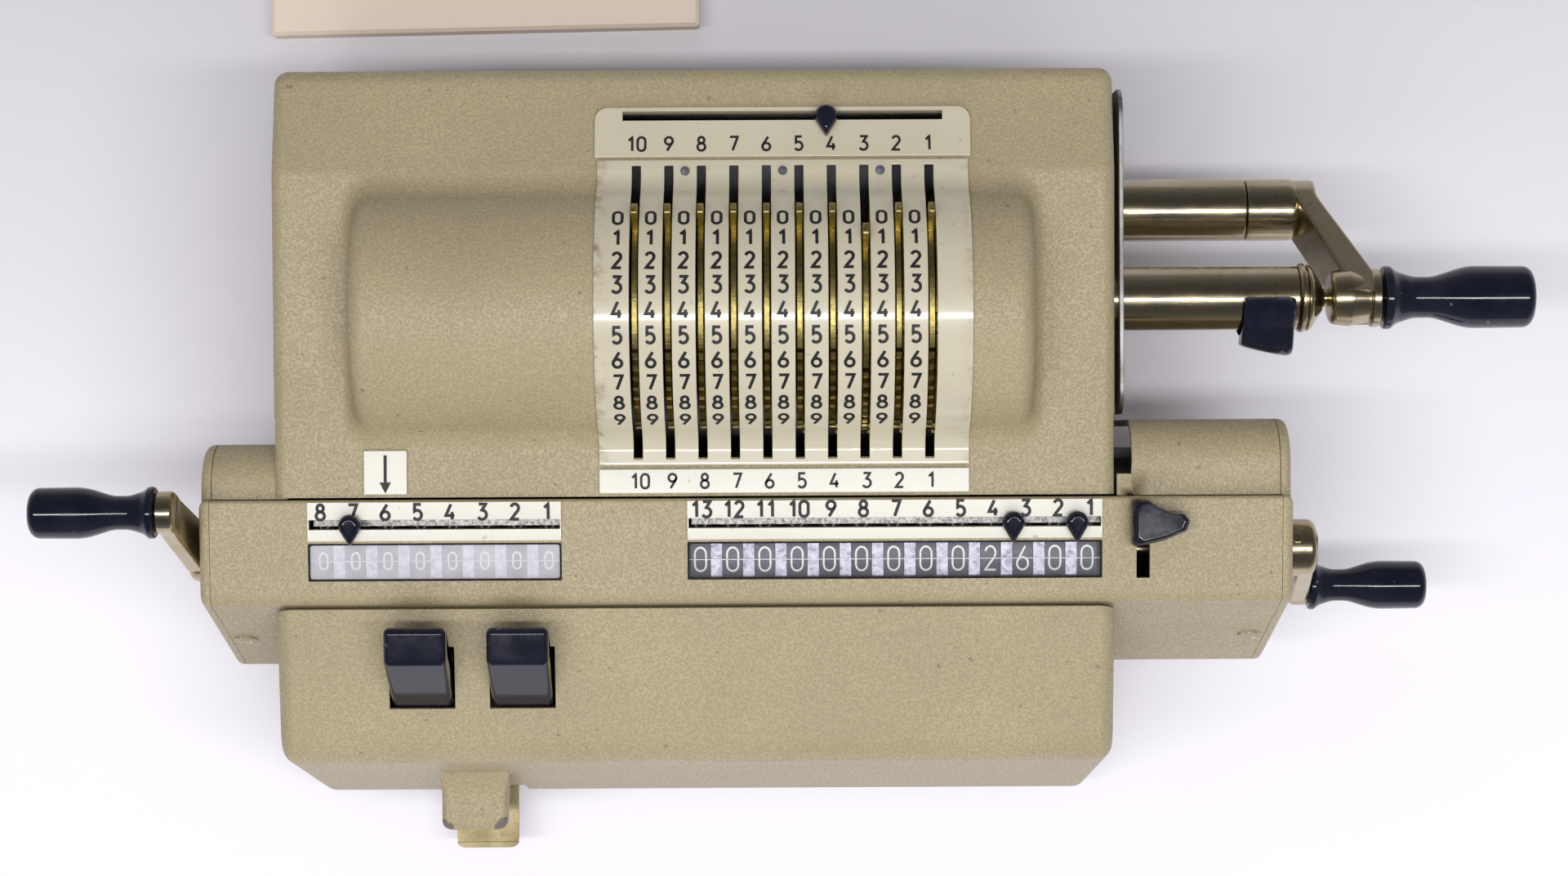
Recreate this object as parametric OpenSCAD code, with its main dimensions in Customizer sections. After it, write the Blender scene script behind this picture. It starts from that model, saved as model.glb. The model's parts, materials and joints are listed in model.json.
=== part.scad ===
// Hand-cranked pinwheel calculator with a sliding register carriage.
// The origin is the middle of the base plate's underside. X runs along the drum to the crank,
// Y to the rear and Z up. The rubber feet stand below the origin plane.

/* [Body] */
// Width of the casing over its side walls
body_w = 208.6; // [206:0.2:216]
// Depth of the body from the rear wall to the foot of the front apron
body_d = 187.5; // [186:0.5:196]
// Thickness of the painted sheet
sheet = 1.6; // [1.2:0.1:2]
// Thickness of the base plate
base_t = 3; // [2:0.25:4]
// Depth of the panel pressed into the middle of the base plate
base_emboss = 0.5; // [0.3:0.1:1]
// Width of the pressed panel
base_panel_w = 136; // [100:1:150]
// Depth of the pressed panel from front to rear
base_panel_d = 116; // [80:1:124]
// Height of the rubber feet
foot_h = 9; // [5:0.5:14]
// Radius of the rubber feet
foot_r = 9; // [6:0.5:12]
// Distance from the body's edges to the centre of a foot
foot_inset = 16; // [13:1:24]
// Height of the rear deck behind the drum cover
deck_rear_z = 86.5; // [85:0.25:88]
// Fall of the rear deck from the drum cover to the rear edge
deck_fall = 5.5; // [3:0.25:8]
// Height of the front deck between the drum cover and the carriage
deck_front_z = 84; // [83.5:0.1:84.6]
// Radius of the casing's rear corners in plan
casing_corner_r = 5; // [2:0.5:8]
// Radius of the casing's rear top edge
casing_edge_r = 5; // [2:0.5:8]

/* [Drum] */
// Distance from the body's middle back to the drum axis
drum_y = 33.6; // [33:0.1:35]
// Height of the drum axis over the base plate's underside
drum_z = 72; // [71:0.1:72.6]
// Outer radius of the drum cover
cover_r = 33.2; // [33:0.1:34]
// Length of the drum cover
cover_l = 166.6; // [160:0.2:178]
// Radius of the drum cover's end edges
cover_edge_r = 4.5; // [2:0.5:8]
// Radius of the drum shaft
drum_shaft_r = 4; // [3:0.25:6]
// Radius of the drum's hub under the discs and levers
drum_hub_r = 9; // [7.5:0.25:12]
// Radius of a pinwheel disc without its teeth
disc_r = 29; // [26:0.25:29.6]
// Height of the teeth on a pinwheel disc
disc_tooth_h = 2; // [1:0.1:2]
// Thickness of a pinwheel disc
disc_t = 3.4; // [2:0.1:4]
// Number of setting columns
columns = 10; // [10]
// Distance between neighbouring columns
pitch = 8; // [8:0.05:8.2]
// Distance from the casing's middle to the first setting column
column_1_x = 58.2; // [57.8:0.1:58.8]

/* [Setting levers] */
// Radius of a setting lever's tip about the drum axis
lever_r = 37.4; // [36:0.1:37.6]
// Radius of the toothed sector behind a setting lever's tip
lever_sector_r = 30.4; // [28:0.1:30.8]
// Radius of a setting lever's ring
lever_ring_r = 24; // [20:0.5:27]
// Thickness of a setting lever
lever_t = 1.5; // [1:0.1:1.7]
// Width of a setting lever's tip
lever_tip_w = 3.9; // [2.5:0.1:5]
// Angle of a lever at zero behind the crown of the drum
lever_zero = 40.5; // [39:0.5:42]
// Angle between two digits
digit_step = 10.3; // [10:0.05:10.5]
// Column whose lever rests at one
raised_column = 3; // [1:1:10]

/* [Setting panel] */
// Thickness of the setting panel
panel_t = 0.9; // [0.7:0.1:1.4]
// Width of the setting panel
panel_w = 91.4; // [86:0.2:94]
// Distance from the body's middle back to the panel's rear edge
panel_rear_y = 70.45; // [70:0.05:71]
// Distance from the body's middle forward to the panel's front edge
panel_front_y = 4.85; // [4.6:0.05:5]
// Width of a setting slot
slot_w = 2.2; // [2.1:0.1:3]
// Land between a slot and the panel's edges at the rear
slot_land_rear = 1.2; // [0.8:0.1:1.4]
// Land between a slot and the panel's edge at the front
slot_land_front = 1.55; // [1:0.05:2]
// Radius of the column studs
stud_r = 1.1; // [0.8:0.1:1.4]
// Height of the column studs over the panel
stud_h = 0.7; // [0.4:0.1:1.5]

/* [Label plates] */
// Thickness of the label plates
plate_t = 1; // [0.6:0.1:1.2]
// Width of the upper label plate
upper_plate_w = 92.8; // [90:0.2:96]
// Depth of the upper label plate
upper_plate_d = 12.9; // [12:0.1:14]
// Depth of the lower label strip
lower_plate_d = 6; // [5:0.1:6.2]
// Width of the arrow plate
arrow_plate_w = 10.7; // [8:0.1:12]
// Depth of the arrow plate
arrow_plate_d = 10.9; // [8:0.1:11.2]
// Width of the slots that the pointers slide in
track_w = 2.4; // [2.1:0.1:3]
// Length of the setting pointer's slot
setting_track_l = 79; // [77:0.5:84]

/* [Carriage] */
// Distance from the body's middle forward to the casing deck's front edge
deck_front_y = 12.15; // [12:0.05:12.4]
// Gap between the casing deck and the carriage cover
rear_gap = 0.9; // [0.5:0.1:1.2]
// Gap between the carriage cover and the apron
front_gap = 1.7; // [1:0.1:2.2]
// Distance from the casing's middle to the carriage's left end
carriage_left = 122.7; // [122:0.1:126]
// Distance from the casing's middle to the carriage's right end
carriage_right = 148.1; // [147.6:0.1:150]
// Height of the carriage cover at its rear edge
cover_rear_z = 85.3; // [85:0.1:86]
// Height of the carriage cover at the edge before the apron
cover_front_z = 83.2; // [82.6:0.1:83.6]
// Depth of the carriage cover's top
cover_d = 25.55; // [25:0.05:26]
// Depth of the cover's steep front face in plan
cover_slope_d = 18.65; // [17:0.05:19]
// Height of the carriage's underside
carriage_z = 31; // [30.5:0.1:33]
// Thickness of the carriage's end caps
end_cap_t = 2.7; // [2:0.1:3]
// Height of the covers behind the carriage
rear_cover_z = 81.7; // [80:0.1:81.9]
// Reach of the left rear cover behind the body's middle
rear_reach_left = 0.75; // [0:0.05:2]
// Reach of the right rear cover behind the body's middle
rear_reach_right = 5.95; // [4:0.05:6.2]
// Radius of the rear covers' upper edge
rear_cover_edge_r = 11; // [6:0.5:13]
// Thickness of the carriage's bottom plate
frame_t = 2.5; // [2:0.1:4]
// Width of a carriage rail
rail_w = 6; // [4:0.25:7]
// Distance from the body's middle forward to the front rail
front_rail_y = 37; // [36:0.25:38]
// Distance from the body's middle forward to the rear rail
rear_rail_y = 13; // [12:0.25:14]

/* [Registers] */
// Distance from the body's middle forward to the dial axles
dial_y = 26.55; // [26.4:0.05:26.8]
// Height of the dial axles
dial_z = 67.5; // [66:0.1:67.6]
// Radius of a number dial
dial_r = 13; // [11:0.1:13.2]
// Width of a number dial
dial_w = 5.3; // [4.6:0.1:5.6]
// Radius of a dial axle
axle_r = 3; // [2.5:0.1:4]
// Number of result dials
result_count = 13; // [13]
// Number of counter dials
counter_count = 8; // [8]
// Column of the result register above which the first setting column stands
aligned_dial = 6; // [6]
// Distance from the casing's middle to the counting mark on the deck
counter_mark_x = 76.3; // [75.8:0.1:76.8]
// Width of the counter window
counter_window_w = 62.7; // [62:0.1:64]
// Width of the result window
result_window_w = 102.5; // [102:0.1:104]
// Distance from the cover's rear edge to the windows
window_start = 10.8; // [10.6:0.1:11.4]
// Depth of the windows
window_d = 9.4; // [8:0.1:10]
// Thickness of the window glass
glass_t = 1; // [0.8:0.1:1.4]
// Thickness of the register strips
strip_t = 0.6; // [0.4:0.1:0.9]
// Distance from the cover's rear edge to the middle of the pointer slots
track_start = 6.1; // [5.8:0.1:6.4]

/* [Wing cranks] */
// Radius of a wing crank from its axle to its handle
wing_crank_r = 31.4; // [28:0.1:33]
// Angle of the wing cranks from upright
wing_tilt = 20.4; // [10:0.1:30]
// Radius of a wing crank's hub
wing_hub_r = 7.2; // [6:0.1:8]
// Thickness of a wing crank's arm
wing_arm_t = 4.4; // [3:0.1:5]
// Distance from the left end cap to the left handle
wing_off_left = 7.8; // [7:0.1:9]
// Distance from the right end cap to the right handle
wing_off_right = 10.8; // [10:0.1:12]
// Length of a wing handle
wing_handle_l = 30.6; // [26:0.2:34]
// Radius of a wing handle's bulge
wing_handle_r = 6.4; // [5.5:0.1:7.2]
// Radius of a wing handle's spindle
wing_spindle_r = 2.2; // [1.6:0.1:2.8]

/* [Main crank] */
// Distance from the body's middle back to the crank shaft
crank_y = 60.05; // [59:0.05:61]
// Height of the crank shaft
crank_z = 49.1; // [48:0.1:50]
// Distance from the body's middle back to the lock tube
lock_y = 36.35; // [36:0.05:37]
// Height of the lock tube
lock_z = 70; // [69.6:0.1:70.6]
// Radius of the tubes that carry the crank and the lock
tube_r = 7.95; // [7:0.05:8.2]
// Radius of the crank shaft
crank_shaft_r = 5; // [4:0.1:6]
// Distance from the casing's middle to the end of the crank tube
crank_tube_x = 141; // [139:0.1:142]
// Distance from the casing's middle to the end of the lock tube
lock_tube_x = 151.3; // [150.8:0.1:152]
// Length of the crank's hub
crank_hub_l = 15; // [13:0.1:15.4]
// Distance from the casing's middle to the inner face of the crank's boss
crank_boss_x = 159.4; // [159.2:0.1:161]
// Length of the crank's boss
crank_boss_l = 13; // [11:0.1:15]
// Length of the main handle
handle_l = 37.8; // [34:0.2:42]
// Radius of the main handle's bulge
handle_r = 8; // [7:0.1:9]
// Radius of the main handle's spindle
spindle_r = 3; // [2:0.1:3.6]
// Number of teeth of the two meshed gears
gear_teeth = 17; // [17]
// Width of the gears
gear_w = 6; // [4:0.5:8]
// Distance from the casing's middle to the gears
gear_x = 66; // [65.5:0.1:68]
// Radius of the stop bush's flange
bush_r = 8.7; // [8.2:0.1:9]
// Length of the stop bush
bush_l = 6.3; // [5:0.1:6.5]
// Width of the clear lever's saddle on the lock tube
clear_w = 13; // [9:0.5:14]
// Distance from the casing's middle to the clear lever
clear_x = 136.9; // [134:0.1:138]
// Reach of the clear lever's paddle from the lock tube's axis
clear_reach = 14; // [12:0.25:14.5]

/* [Keys and release] */
// Width of a shift key
key_w = 15.2; // [12:0.1:16]
// Distance from the casing's middle to the left key
key_left_x = 68.2; // [67.6:0.1:69]
// Distance from the casing's middle to the right key
key_right_x = 43.2; // [42.6:0.1:44]
// Height of the left key's top
key_left_z = 96; // [94:0.25:98]
// Height of the right key's top
key_right_z = 95; // [94:0.25:98]
// Travel of a key
key_travel = 6; // [4:0.5:7]
// Distance from the casing's middle to the release lever
release_x = 58.8; // [58:0.1:60]
// Width of the release lever
release_w = 16.7; // [14:0.1:17.2]
// Thickness of the release lever
release_t = 1.5; // [1.2:0.1:2]
// Reach of the release lever before the foot of the front apron
release_reach = 15.4; // [12:0.05:18]
// Width of the thumb tab
tab_w = 17.2; // [15:0.1:18]
// Reach of the thumb tab before the foot of the front apron
tab_reach = 6.2; // [5:0.05:8]
// Height of the thumb tab's top
tab_z = 44; // [42:0.25:46]

/* [Pointers] */
// Distance from the right end of the setting slot to its pointer
setting_mark_off = 28.7; // [26:0.1:32]
// Distance from the left end of the counter window to its pointer
counter_mark_off = 10.7; // [9:0.1:13]
// Distance from the right end of the result window to the left pointer
result_mark_left_off = 22.1; // [20:0.1:25]
// Distance from the right end of the result window to the right pointer
result_mark_right_off = 6.4; // [6:0.1:7.4]
// Radius of a pointer's head
pointer_r = 2.85; // [2:0.05:3.2]
// Length of a pointer from its stem to its tip
pointer_l = 6.6; // [5:0.1:7]
// Height of a pointer
pointer_h = 3.4; // [2:0.1:5]

/* [Fits] */
// Running clearance between a shaft and its bore
fit = 0.05; // [0.03:0.01:0.08]
// Gap between pieces that pass each other
clear = 0.3; // [0.2:0.05:0.35]
// Gap between seated pieces
seat = 0.1; // [0.05:0.05:0.15]

/* [Hidden] */

PAINT = [0.69, 0.65, 0.55];
IVORY = [0.88, 0.87, 0.80];
NAVY = [0.10, 0.11, 0.18];
NICKEL = [0.62, 0.60, 0.55];
BRASS = [0.62, 0.52, 0.25];
STEEL = [0.45, 0.45, 0.46];
RUBBER = [0.08, 0.08, 0.08];
DIAL_GREY = [0.28, 0.28, 0.30];
GLASS = [0.80, 0.82, 0.88, 0.35];

big = 400;
arc_steps = 6;
base_panel_r = 10;
half_w = body_w / 2;
half_d = body_d / 2;
inner_w = half_w - sheet;

// Inner frame plates that carry the shafts, tubes and rails
frame_plate_t = 2;
frame_x = inner_w - 2.7 - frame_plate_t;
outer_plate_gap = 1.5;
outer_plate_t = 1.1;
outer_plate_x = half_w + outer_plate_gap;
outer_plate_z = [25, 80];
outer_plate_rear = half_d - 5;
passage_z = carriage_z - 1.5;
passage_rear_y = rear_reach_right + 1.4;
frame_front_y = passage_rear_y + 1.6;
frame_low_z = 22;

// Lines of the decks, in Y and Z
deck_knee = [drum_y + cover_r + 0.95, deck_rear_z];
deck_end = [half_d - 2, deck_rear_z - deck_fall];
rear_slope = (deck_end[1] - deck_knee[1]) / (deck_end[0] - deck_knee[0]);
mid_slope = (deck_knee[1] - deck_front_z) / deck_knee[0];
function deck_height(y) = y > deck_knee[0] ? deck_knee[1] + rear_slope * (y - deck_knee[0])
    : y > 0 ? deck_front_z + mid_slope * y : deck_front_z;

// Setting panel and its slots
panel_mid_x = column_1_x - pitch * (columns - 1) / 2;
panel_r = cover_r + seat / 2;
opening_margin = 2.4;
slot_rear_y = panel_rear_y - slot_land_rear;
slot_front_y = -panel_front_y + slot_land_front;
setting_track_y = panel_rear_y + 10.8;

// Sector of a setting lever, in degrees behind its tip
sector_start = -3;
sector_end = 88;

// Pinwheel
disc_start = lever_t / 2 + 0.15;
hub_start = column_1_x - pitch * (columns - 1) - 6;
hub_end = column_1_x + 6;
finger_x = -counter_mark_x;

// Carriage section, in Y and Z
cover_rear_y = -deck_front_y - rear_gap;
cover_edge = [cover_rear_y - cover_d, cover_front_z];
cover_foot = [cover_edge[0] - cover_slope_d, carriage_z];
apron_rear_y = cover_edge[0] - front_gap;
cover_fall = atan2(cover_rear_z - cover_front_z, cover_d);
front_section = [[cover_rear_y, carriage_z], [cover_rear_y, cover_rear_z], cover_edge, cover_foot];
cap_inner_left = -carriage_left + end_cap_t;
cap_inner_right = carriage_right - end_cap_t;
face_dir = (cover_foot - cover_edge) / norm(cover_foot - cover_edge);
screw_x = [-carriage_left + 6.4, carriage_right - 6.7];
screw_drop = 31.5;
carriage_back = 40;
carriage_on = 16;
rib_w = 2;
rib_h = 4;
rib_left = -frame_x + carriage_back + 2;
rib_right = frame_x - carriage_on - 2;
frame_front = cover_foot[0] + sheet * 1.9;
frame_rear = rear_reach_left - sheet - clear;
ear_t = 2.5;

// Register layout
dial_1_x = column_1_x + pitch * (aligned_dial - 1);
function result_x(i) = dial_1_x - pitch * (i - 1);
function counter_x(i) = -counter_mark_x + pitch * (6 - i);
result_window_x = result_x((result_count + 1) / 2) - 0.75;
counter_window_x = counter_x((counter_count + 1) / 2) + 0.05;
result_ear_x = result_x(result_count) - dial_w / 2 - 3.1 - ear_t;
counter_ear_x = counter_x(1) + dial_w / 2 + 3.1;
track_margin = 1.2;
stem_w = 2.4;
stem_d = track_w - 2 * clear;
transfer_x = 110.85;
transfer_stem_w = 2.8;
transfer_stem_l = 5;
transfer_stem_y = -17.5;
transfer_travel = 10;
setting_mark_x = panel_mid_x + setting_track_l / 2 - setting_mark_off;
counter_mark_left_x = counter_window_x - counter_window_w / 2 + counter_mark_off;
result_mark_left_x = result_window_x + result_window_w / 2 - result_mark_left_off;
result_mark_right_x = result_window_x + result_window_w / 2 - result_mark_right_off;
star_w = 1.7;
star_root = 0.5;

// Apron outline, in Y and Z
apron_corner = [-half_d + 15.25, 75.6];
apron_deck_z = 82;
apron_edge_r = 9;
tab_rear_y = -half_d + 9.8;
tab_y = -half_d - tab_reach;
function apron_height(y) = apron_deck_z
    + (apron_corner[1] - apron_deck_z) * (apron_rear_y - y) / (apron_rear_y - apron_corner[0]);
apron_points = [
    [-half_d, base_t], [-deck_front_y - clear, base_t], [-deck_front_y - clear, passage_z],
    [cover_foot[0] - 2.4, passage_z], [apron_rear_y, apron_deck_z], apron_corner
];

// Shift keys
key_rear_y = apron_rear_y - 3.55;
key_slot_rear_y = apron_rear_y - 9.4;
key_slot_front_y = apron_rear_y - 25;
key_gap = 0.6;
key_front_y = key_slot_front_y + key_gap;
key_foot_z = apron_deck_z - 16;
key_under_z = apron_deck_z + key_travel + 4;
key_step = 2.4;

// Release lever
release_pivot = [-half_d + 23.75, 9.5];
release_tip_y = half_d + release_reach;
release_hub_r = 3.4;
release_pin_r = 2;
release_z = 5.2;
release_ear_t = 2;
release_notch_w = 20;
release_notch_z = 14;
rack_y = -47;
rack_w = 3;

// Meshed gears: half the centre distance is the pitch radius
gear_pitch_r = norm([crank_y - drum_y, crank_z - drum_z]) / 2;
gear_module = 2 * gear_pitch_r / gear_teeth;
gear_line = atan2(crank_z - drum_z, crank_y - drum_y);

function unit(v) = v / norm(v);

// A round corner at v between a and b, as a list of points
function corner_arc(a, v, b, r) =
    r <= 0 ? [v] :
    let (
        u = unit(a - v),
        w = unit(b - v),
        half = acos(u * w) / 2,
        c = v + unit(u + w) * r / sin(half),
        p = v + u * r / tan(half),
        q = v + w * r / tan(half),
        s = atan2(p[1] - c[1], p[0] - c[0]),
        e = atan2(q[1] - c[1], q[0] - c[0]),
        d = (e - s + 540) % 360 - 180
    )
    [for (i = [0:arc_steps]) c + r * [cos(s + d * i / arc_steps), sin(s + d * i / arc_steps)]];

// A closed outline with one radius per corner
function rounded(pts, radii) = [
    for (i = [0:len(pts) - 1])
    each corner_arc(pts[(i + len(pts) - 1) % len(pts)], pts[i], pts[(i + 1) % len(pts)], radii[i])
];

function left_normal(a, b) = let (d = unit(b - a)) [-d[1], d[0]];

// The outline moved inwards by d; it runs counter-clockwise
function inset(pts, d) = [
    for (i = [0:len(pts) - 1])
    let (
        a = pts[(i + len(pts) - 1) % len(pts)],
        b = pts[(i + 1) % len(pts)],
        n = left_normal(a, pts[i]),
        m = left_normal(pts[i], b)
    )
    pts[i] + (n + m) * d / (1 + n * m)
];

// A Y-Z outline swept from x0 to x1
module along_x(x0, x1) {
    translate([x0, 0, 0]) rotate([90, 0, 90]) linear_extrude(height = x1 - x0) children();
}

// A box given by its limits
module block(x, y, z) {
    translate([x[0], y[0], z[0]]) cube([x[1] - x[0], y[1] - y[0], z[1] - z[0]]);
}

// A round bar along X
module rod_x(x0, x1, r, y, z) {
    translate([x0, y, z]) rotate([0, 90, 0]) cylinder(h = x1 - x0, r = r, $fn = 72);
}

// A turned shape about an X axis; points are radius and X
module turned_x(pts, y, z) {
    translate([0, y, z]) mirror([0, 0, 1]) rotate([0, 90, 0]) rotate_extrude($fn = 72) polygon(pts);
}

// Children placed on the sloping top of the carriage cover, with Y = 0 at its rear edge
module on_cover() {
    translate([0, cover_rear_y, cover_rear_z]) rotate([cover_fall, 0, 0]) children();
}

// Children placed on the rear deck, with Y = 0 at the deck's knee
module on_rear_deck() {
    translate([0, deck_knee[0], deck_knee[1]]) rotate([atan(rear_slope), 0, 0]) children();
}

// A gear blank with straight-sided teeth about X, one tooth at the angle
module gear_x(x0, x1, y, z, angle, bore) {
    p = 360 / gear_teeth;
    outer = gear_pitch_r + 0.85 * gear_module;
    root = gear_pitch_r - 1.15 * gear_module;
    teeth = [
        for (i = [0:gear_teeth - 1])
        each [
            for (s = [[-0.30, root], [-0.10, outer], [0.10, outer], [0.30, root]])
            s[1] * [cos(angle + p * (i + s[0])), sin(angle + p * (i + s[0]))]
        ]
    ];
    difference() {
        translate([0, y, z]) along_x(x0, x1) polygon(teeth);
        rod_x(x0 - 1, x1 + 1, bore, y, z);
    }
}

module base_plate() {
    edge = 0.5;
    color(STEEL) {
        block([-half_w + edge, half_w - edge], [-half_d + edge, half_d - edge], [base_emboss, base_t]);
        linear_extrude(height = base_t) polygon(rounded(
            [[-base_panel_w / 2, -base_panel_d / 2], [base_panel_w / 2, -base_panel_d / 2],
                [base_panel_w / 2, base_panel_d / 2], [-base_panel_w / 2, base_panel_d / 2]],
            [base_panel_r, base_panel_r, base_panel_r, base_panel_r]));
        difference() {
            for (s = [-1, 1]) {
                mid = -release_x + s * (release_w / 2 + clear + release_ear_t / 2);
                block([mid - release_ear_t / 2, mid + release_ear_t / 2],
                    [release_pivot[0] - 5, release_pivot[0] + 5], [base_t - 0.5, release_pivot[1] + 4.5]);
            }
            rod_x(-big, big, release_pin_r + fit, release_pivot[0], release_pivot[1]);
        }
    }
}

module rubber_feet() {
    color(RUBBER) for (sx = [-1, 1], sy = [-1, 1])
        translate([sx * (half_w - foot_inset), sy * (half_d - foot_inset), -foot_h])
            cylinder(h = foot_h + base_emboss, r1 = foot_r - 1, r2 = foot_r, $fn = 48);
}

module side_frames() {
    rear = half_d - sheet - 4;
    top = deck_height(rear) - sheet - 1;
    front = -rear + 2;
    plate = [[rear, base_t], [rear, top], [frame_front_y, top], [frame_front_y, frame_low_z],
        [front, frame_low_z], [front, base_t]];
    outer = [
        [outer_plate_rear, outer_plate_z[0]], [outer_plate_rear, outer_plate_z[1]],
        [passage_rear_y - seat, outer_plate_z[1]], [passage_rear_y - seat, outer_plate_z[0]]
    ];
    color(STEEL) difference() {
        union() {
            for (x = [-frame_x - frame_plate_t, frame_x]) along_x(x, x + frame_plate_t) polygon(plate);
            along_x(outer_plate_x, outer_plate_x + outer_plate_t) polygon(rounded(outer, [8, 7, 7, 8]));
        }
        rod_x(-half_w, frame_x + frame_plate_t + 1, drum_shaft_r + fit, drum_y, drum_z);
        rod_x(0, frame_x + frame_plate_t + 1, crank_shaft_r + fit, crank_y, crank_z);
        rod_x(half_w, big, tube_r + fit, crank_y, crank_z);
        rod_x(half_w, big, tube_r + fit, lock_y, lock_z);
    }
}

module carriage_rails() {
    color(STEEL) for (y = [front_rail_y, rear_rail_y])
        block([-frame_x + fit, frame_x - fit], [-y - rail_w / 2, -y + rail_w / 2],
            [frame_low_z - 2, carriage_z - clear]);
}

// The drum cover as a turned solid, drawn in by the wall
module cover_solid(wall) {
    r = cover_r - wall;
    l = cover_l / 2 - wall;
    profile = [[0, -l], [r, -l], [r, l], [0, l]];
    turned_x(rounded(profile, [0, cover_edge_r - wall, cover_edge_r - wall, 0]), drum_y, drum_z);
}

module casing() {
    walls = [
        [half_d, base_t], [half_d, deck_height(half_d)], deck_knee,
        [0, deck_front_z], [-deck_front_y, deck_front_z], [-deck_front_y, base_t]
    ];
    inner = inset(walls, sheet);
    cavity = [
        [inner[0][0], 0], inner[1], inner[2], inner[3],
        [-deck_front_y - 1, inner[3][1]], [-deck_front_y - 1, 0]
    ];
    color(PAINT) difference() {
        union() {
            intersection() {
                along_x(-half_w, half_w) polygon(rounded(walls, [0, casing_edge_r, 0, 0, 0, 0]));
                union() {
                    block([-half_w, half_w], [-half_d, half_d - casing_corner_r], [0, big]);
                    block([-half_w + casing_corner_r, half_w - casing_corner_r], [0, half_d + 1], [0, big]);
                    for (s = [-1, 1])
                        translate([s * (half_w - casing_corner_r), half_d - casing_corner_r, 0])
                            cylinder(h = big, r = casing_corner_r, $fn = 48);
                }
            }
            intersection() {
                cover_solid(0);
                block([-half_w, half_w], [-half_d, half_d], [deck_front_z - 6, big]);
            }
        }
        along_x(-inner_w, inner_w) polygon(rounded(cavity, [0, casing_edge_r - sheet, 0, 0, 0, 0]));
        cover_solid(sheet);
        block([-half_w - 1, half_w + 1], [-deck_front_y - 1, passage_rear_y],
            [passage_z, deck_front_z - sheet]);
        block([panel_mid_x - panel_w / 2 + opening_margin, panel_mid_x + panel_w / 2 - opening_margin],
            [slot_front_y + 0.3, slot_rear_y - 0.3], [drum_z + 5, big]);
        rod_x(inner_w - 1, half_w + 1, tube_r + clear, crank_y, crank_z);
        rod_x(inner_w - 1, half_w + 1, tube_r + clear, lock_y, lock_z);
        block([panel_mid_x - setting_track_l / 2, panel_mid_x + setting_track_l / 2],
            [setting_track_y - track_w / 2, setting_track_y + track_w / 2], [drum_z, big]);
    }
}

module front_apron() {
    inner = inset(apron_points, sheet);
    // The cavity runs on under the deck's rear edge and out at the back
    back = inner[4] + unit(inner[4] - inner[5]) * (-deck_front_y - inner[4][0] + 2);
    cavity = [[inner[0][0], 0], [back[0], 0], back, inner[5]];
    color(PAINT) difference() {
        union() {
            along_x(-half_w, half_w) polygon(rounded(apron_points, [0, 0, 0, 0, 0, apron_edge_r]));
            along_x(-release_x - tab_w / 2, -release_x + tab_w / 2) polygon(rounded(
                [[tab_y, tab_z - 7], [tab_rear_y, tab_z - 11], [tab_rear_y, tab_z], [tab_y, tab_z]],
                [2, 0, 0, 3]));
        }
        along_x(-inner_w, inner_w) polygon(rounded(cavity, [0, 0, 0, apron_edge_r - sheet]));
        for (x = [-key_left_x, -key_right_x])
            block([x - key_w / 2 - key_gap, x + key_w / 2 + key_gap],
                [key_slot_front_y, key_slot_rear_y], [key_foot_z, big]);
        block([-release_x + 0.9 - release_notch_w / 2, -release_x + 0.9 + release_notch_w / 2],
            [-half_d - 1, inner[0][0] + 3], [0, release_notch_z]);
    }
}

module setting_panel() {
    color(IVORY) difference() {
        along_x(panel_mid_x - panel_w / 2, panel_mid_x + panel_w / 2) union() {
            intersection() {
                difference() {
                    translate([drum_y, drum_z]) circle(r = panel_r + panel_t, $fn = 144);
                    translate([drum_y, drum_z]) circle(r = panel_r, $fn = 144);
                }
                polygon([
                    [-panel_front_y, deck_front_z + seat], [0, deck_front_z + seat],
                    [front_meet, deck_height(front_meet) + seat], [rear_meet, deck_height(rear_meet) + seat],
                    [deck_knee[0], deck_knee[1] + seat], [panel_rear_y, deck_height(panel_rear_y) + seat],
                    [panel_rear_y, big / 2], [-panel_front_y, big / 2]
                ]);
            }
            polygon(rear_flange());
            polygon(front_flange());
        }
        for (i = [0:columns - 1])
            block([column_1_x - pitch * i - slot_w / 2, column_1_x - pitch * i + slot_w / 2],
                [slot_front_y, slot_rear_y], [drum_z, big]);
    }
}
rear_meet = drum_y + sqrt(pow(panel_r, 2) - pow(deck_rear_z + seat - drum_z, 2)) + 0.2;
front_meet = drum_y - sqrt(pow(panel_r, 2) - pow(deck_front_z + seat - drum_z, 2)) - 0.2;
function rear_flange() = [
    [rear_meet, deck_height(rear_meet) + seat], [deck_knee[0], deck_knee[1] + seat],
    [panel_rear_y, deck_height(panel_rear_y) + seat],
    [panel_rear_y, deck_height(panel_rear_y) + seat + panel_t],
    [deck_knee[0], deck_knee[1] + seat + panel_t],
    [rear_meet - 1, deck_height(rear_meet) + seat + panel_t + 1]
];
function front_flange() = [
    [-panel_front_y, deck_front_z + seat], [0, deck_front_z + seat],
    [front_meet, deck_height(front_meet) + seat],
    [front_meet + 0.9, deck_height(front_meet) + seat + panel_t + 1],
    [front_meet - 0.6, deck_height(front_meet) + seat + panel_t], [-panel_front_y, deck_front_z + seat + panel_t]
];

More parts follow.
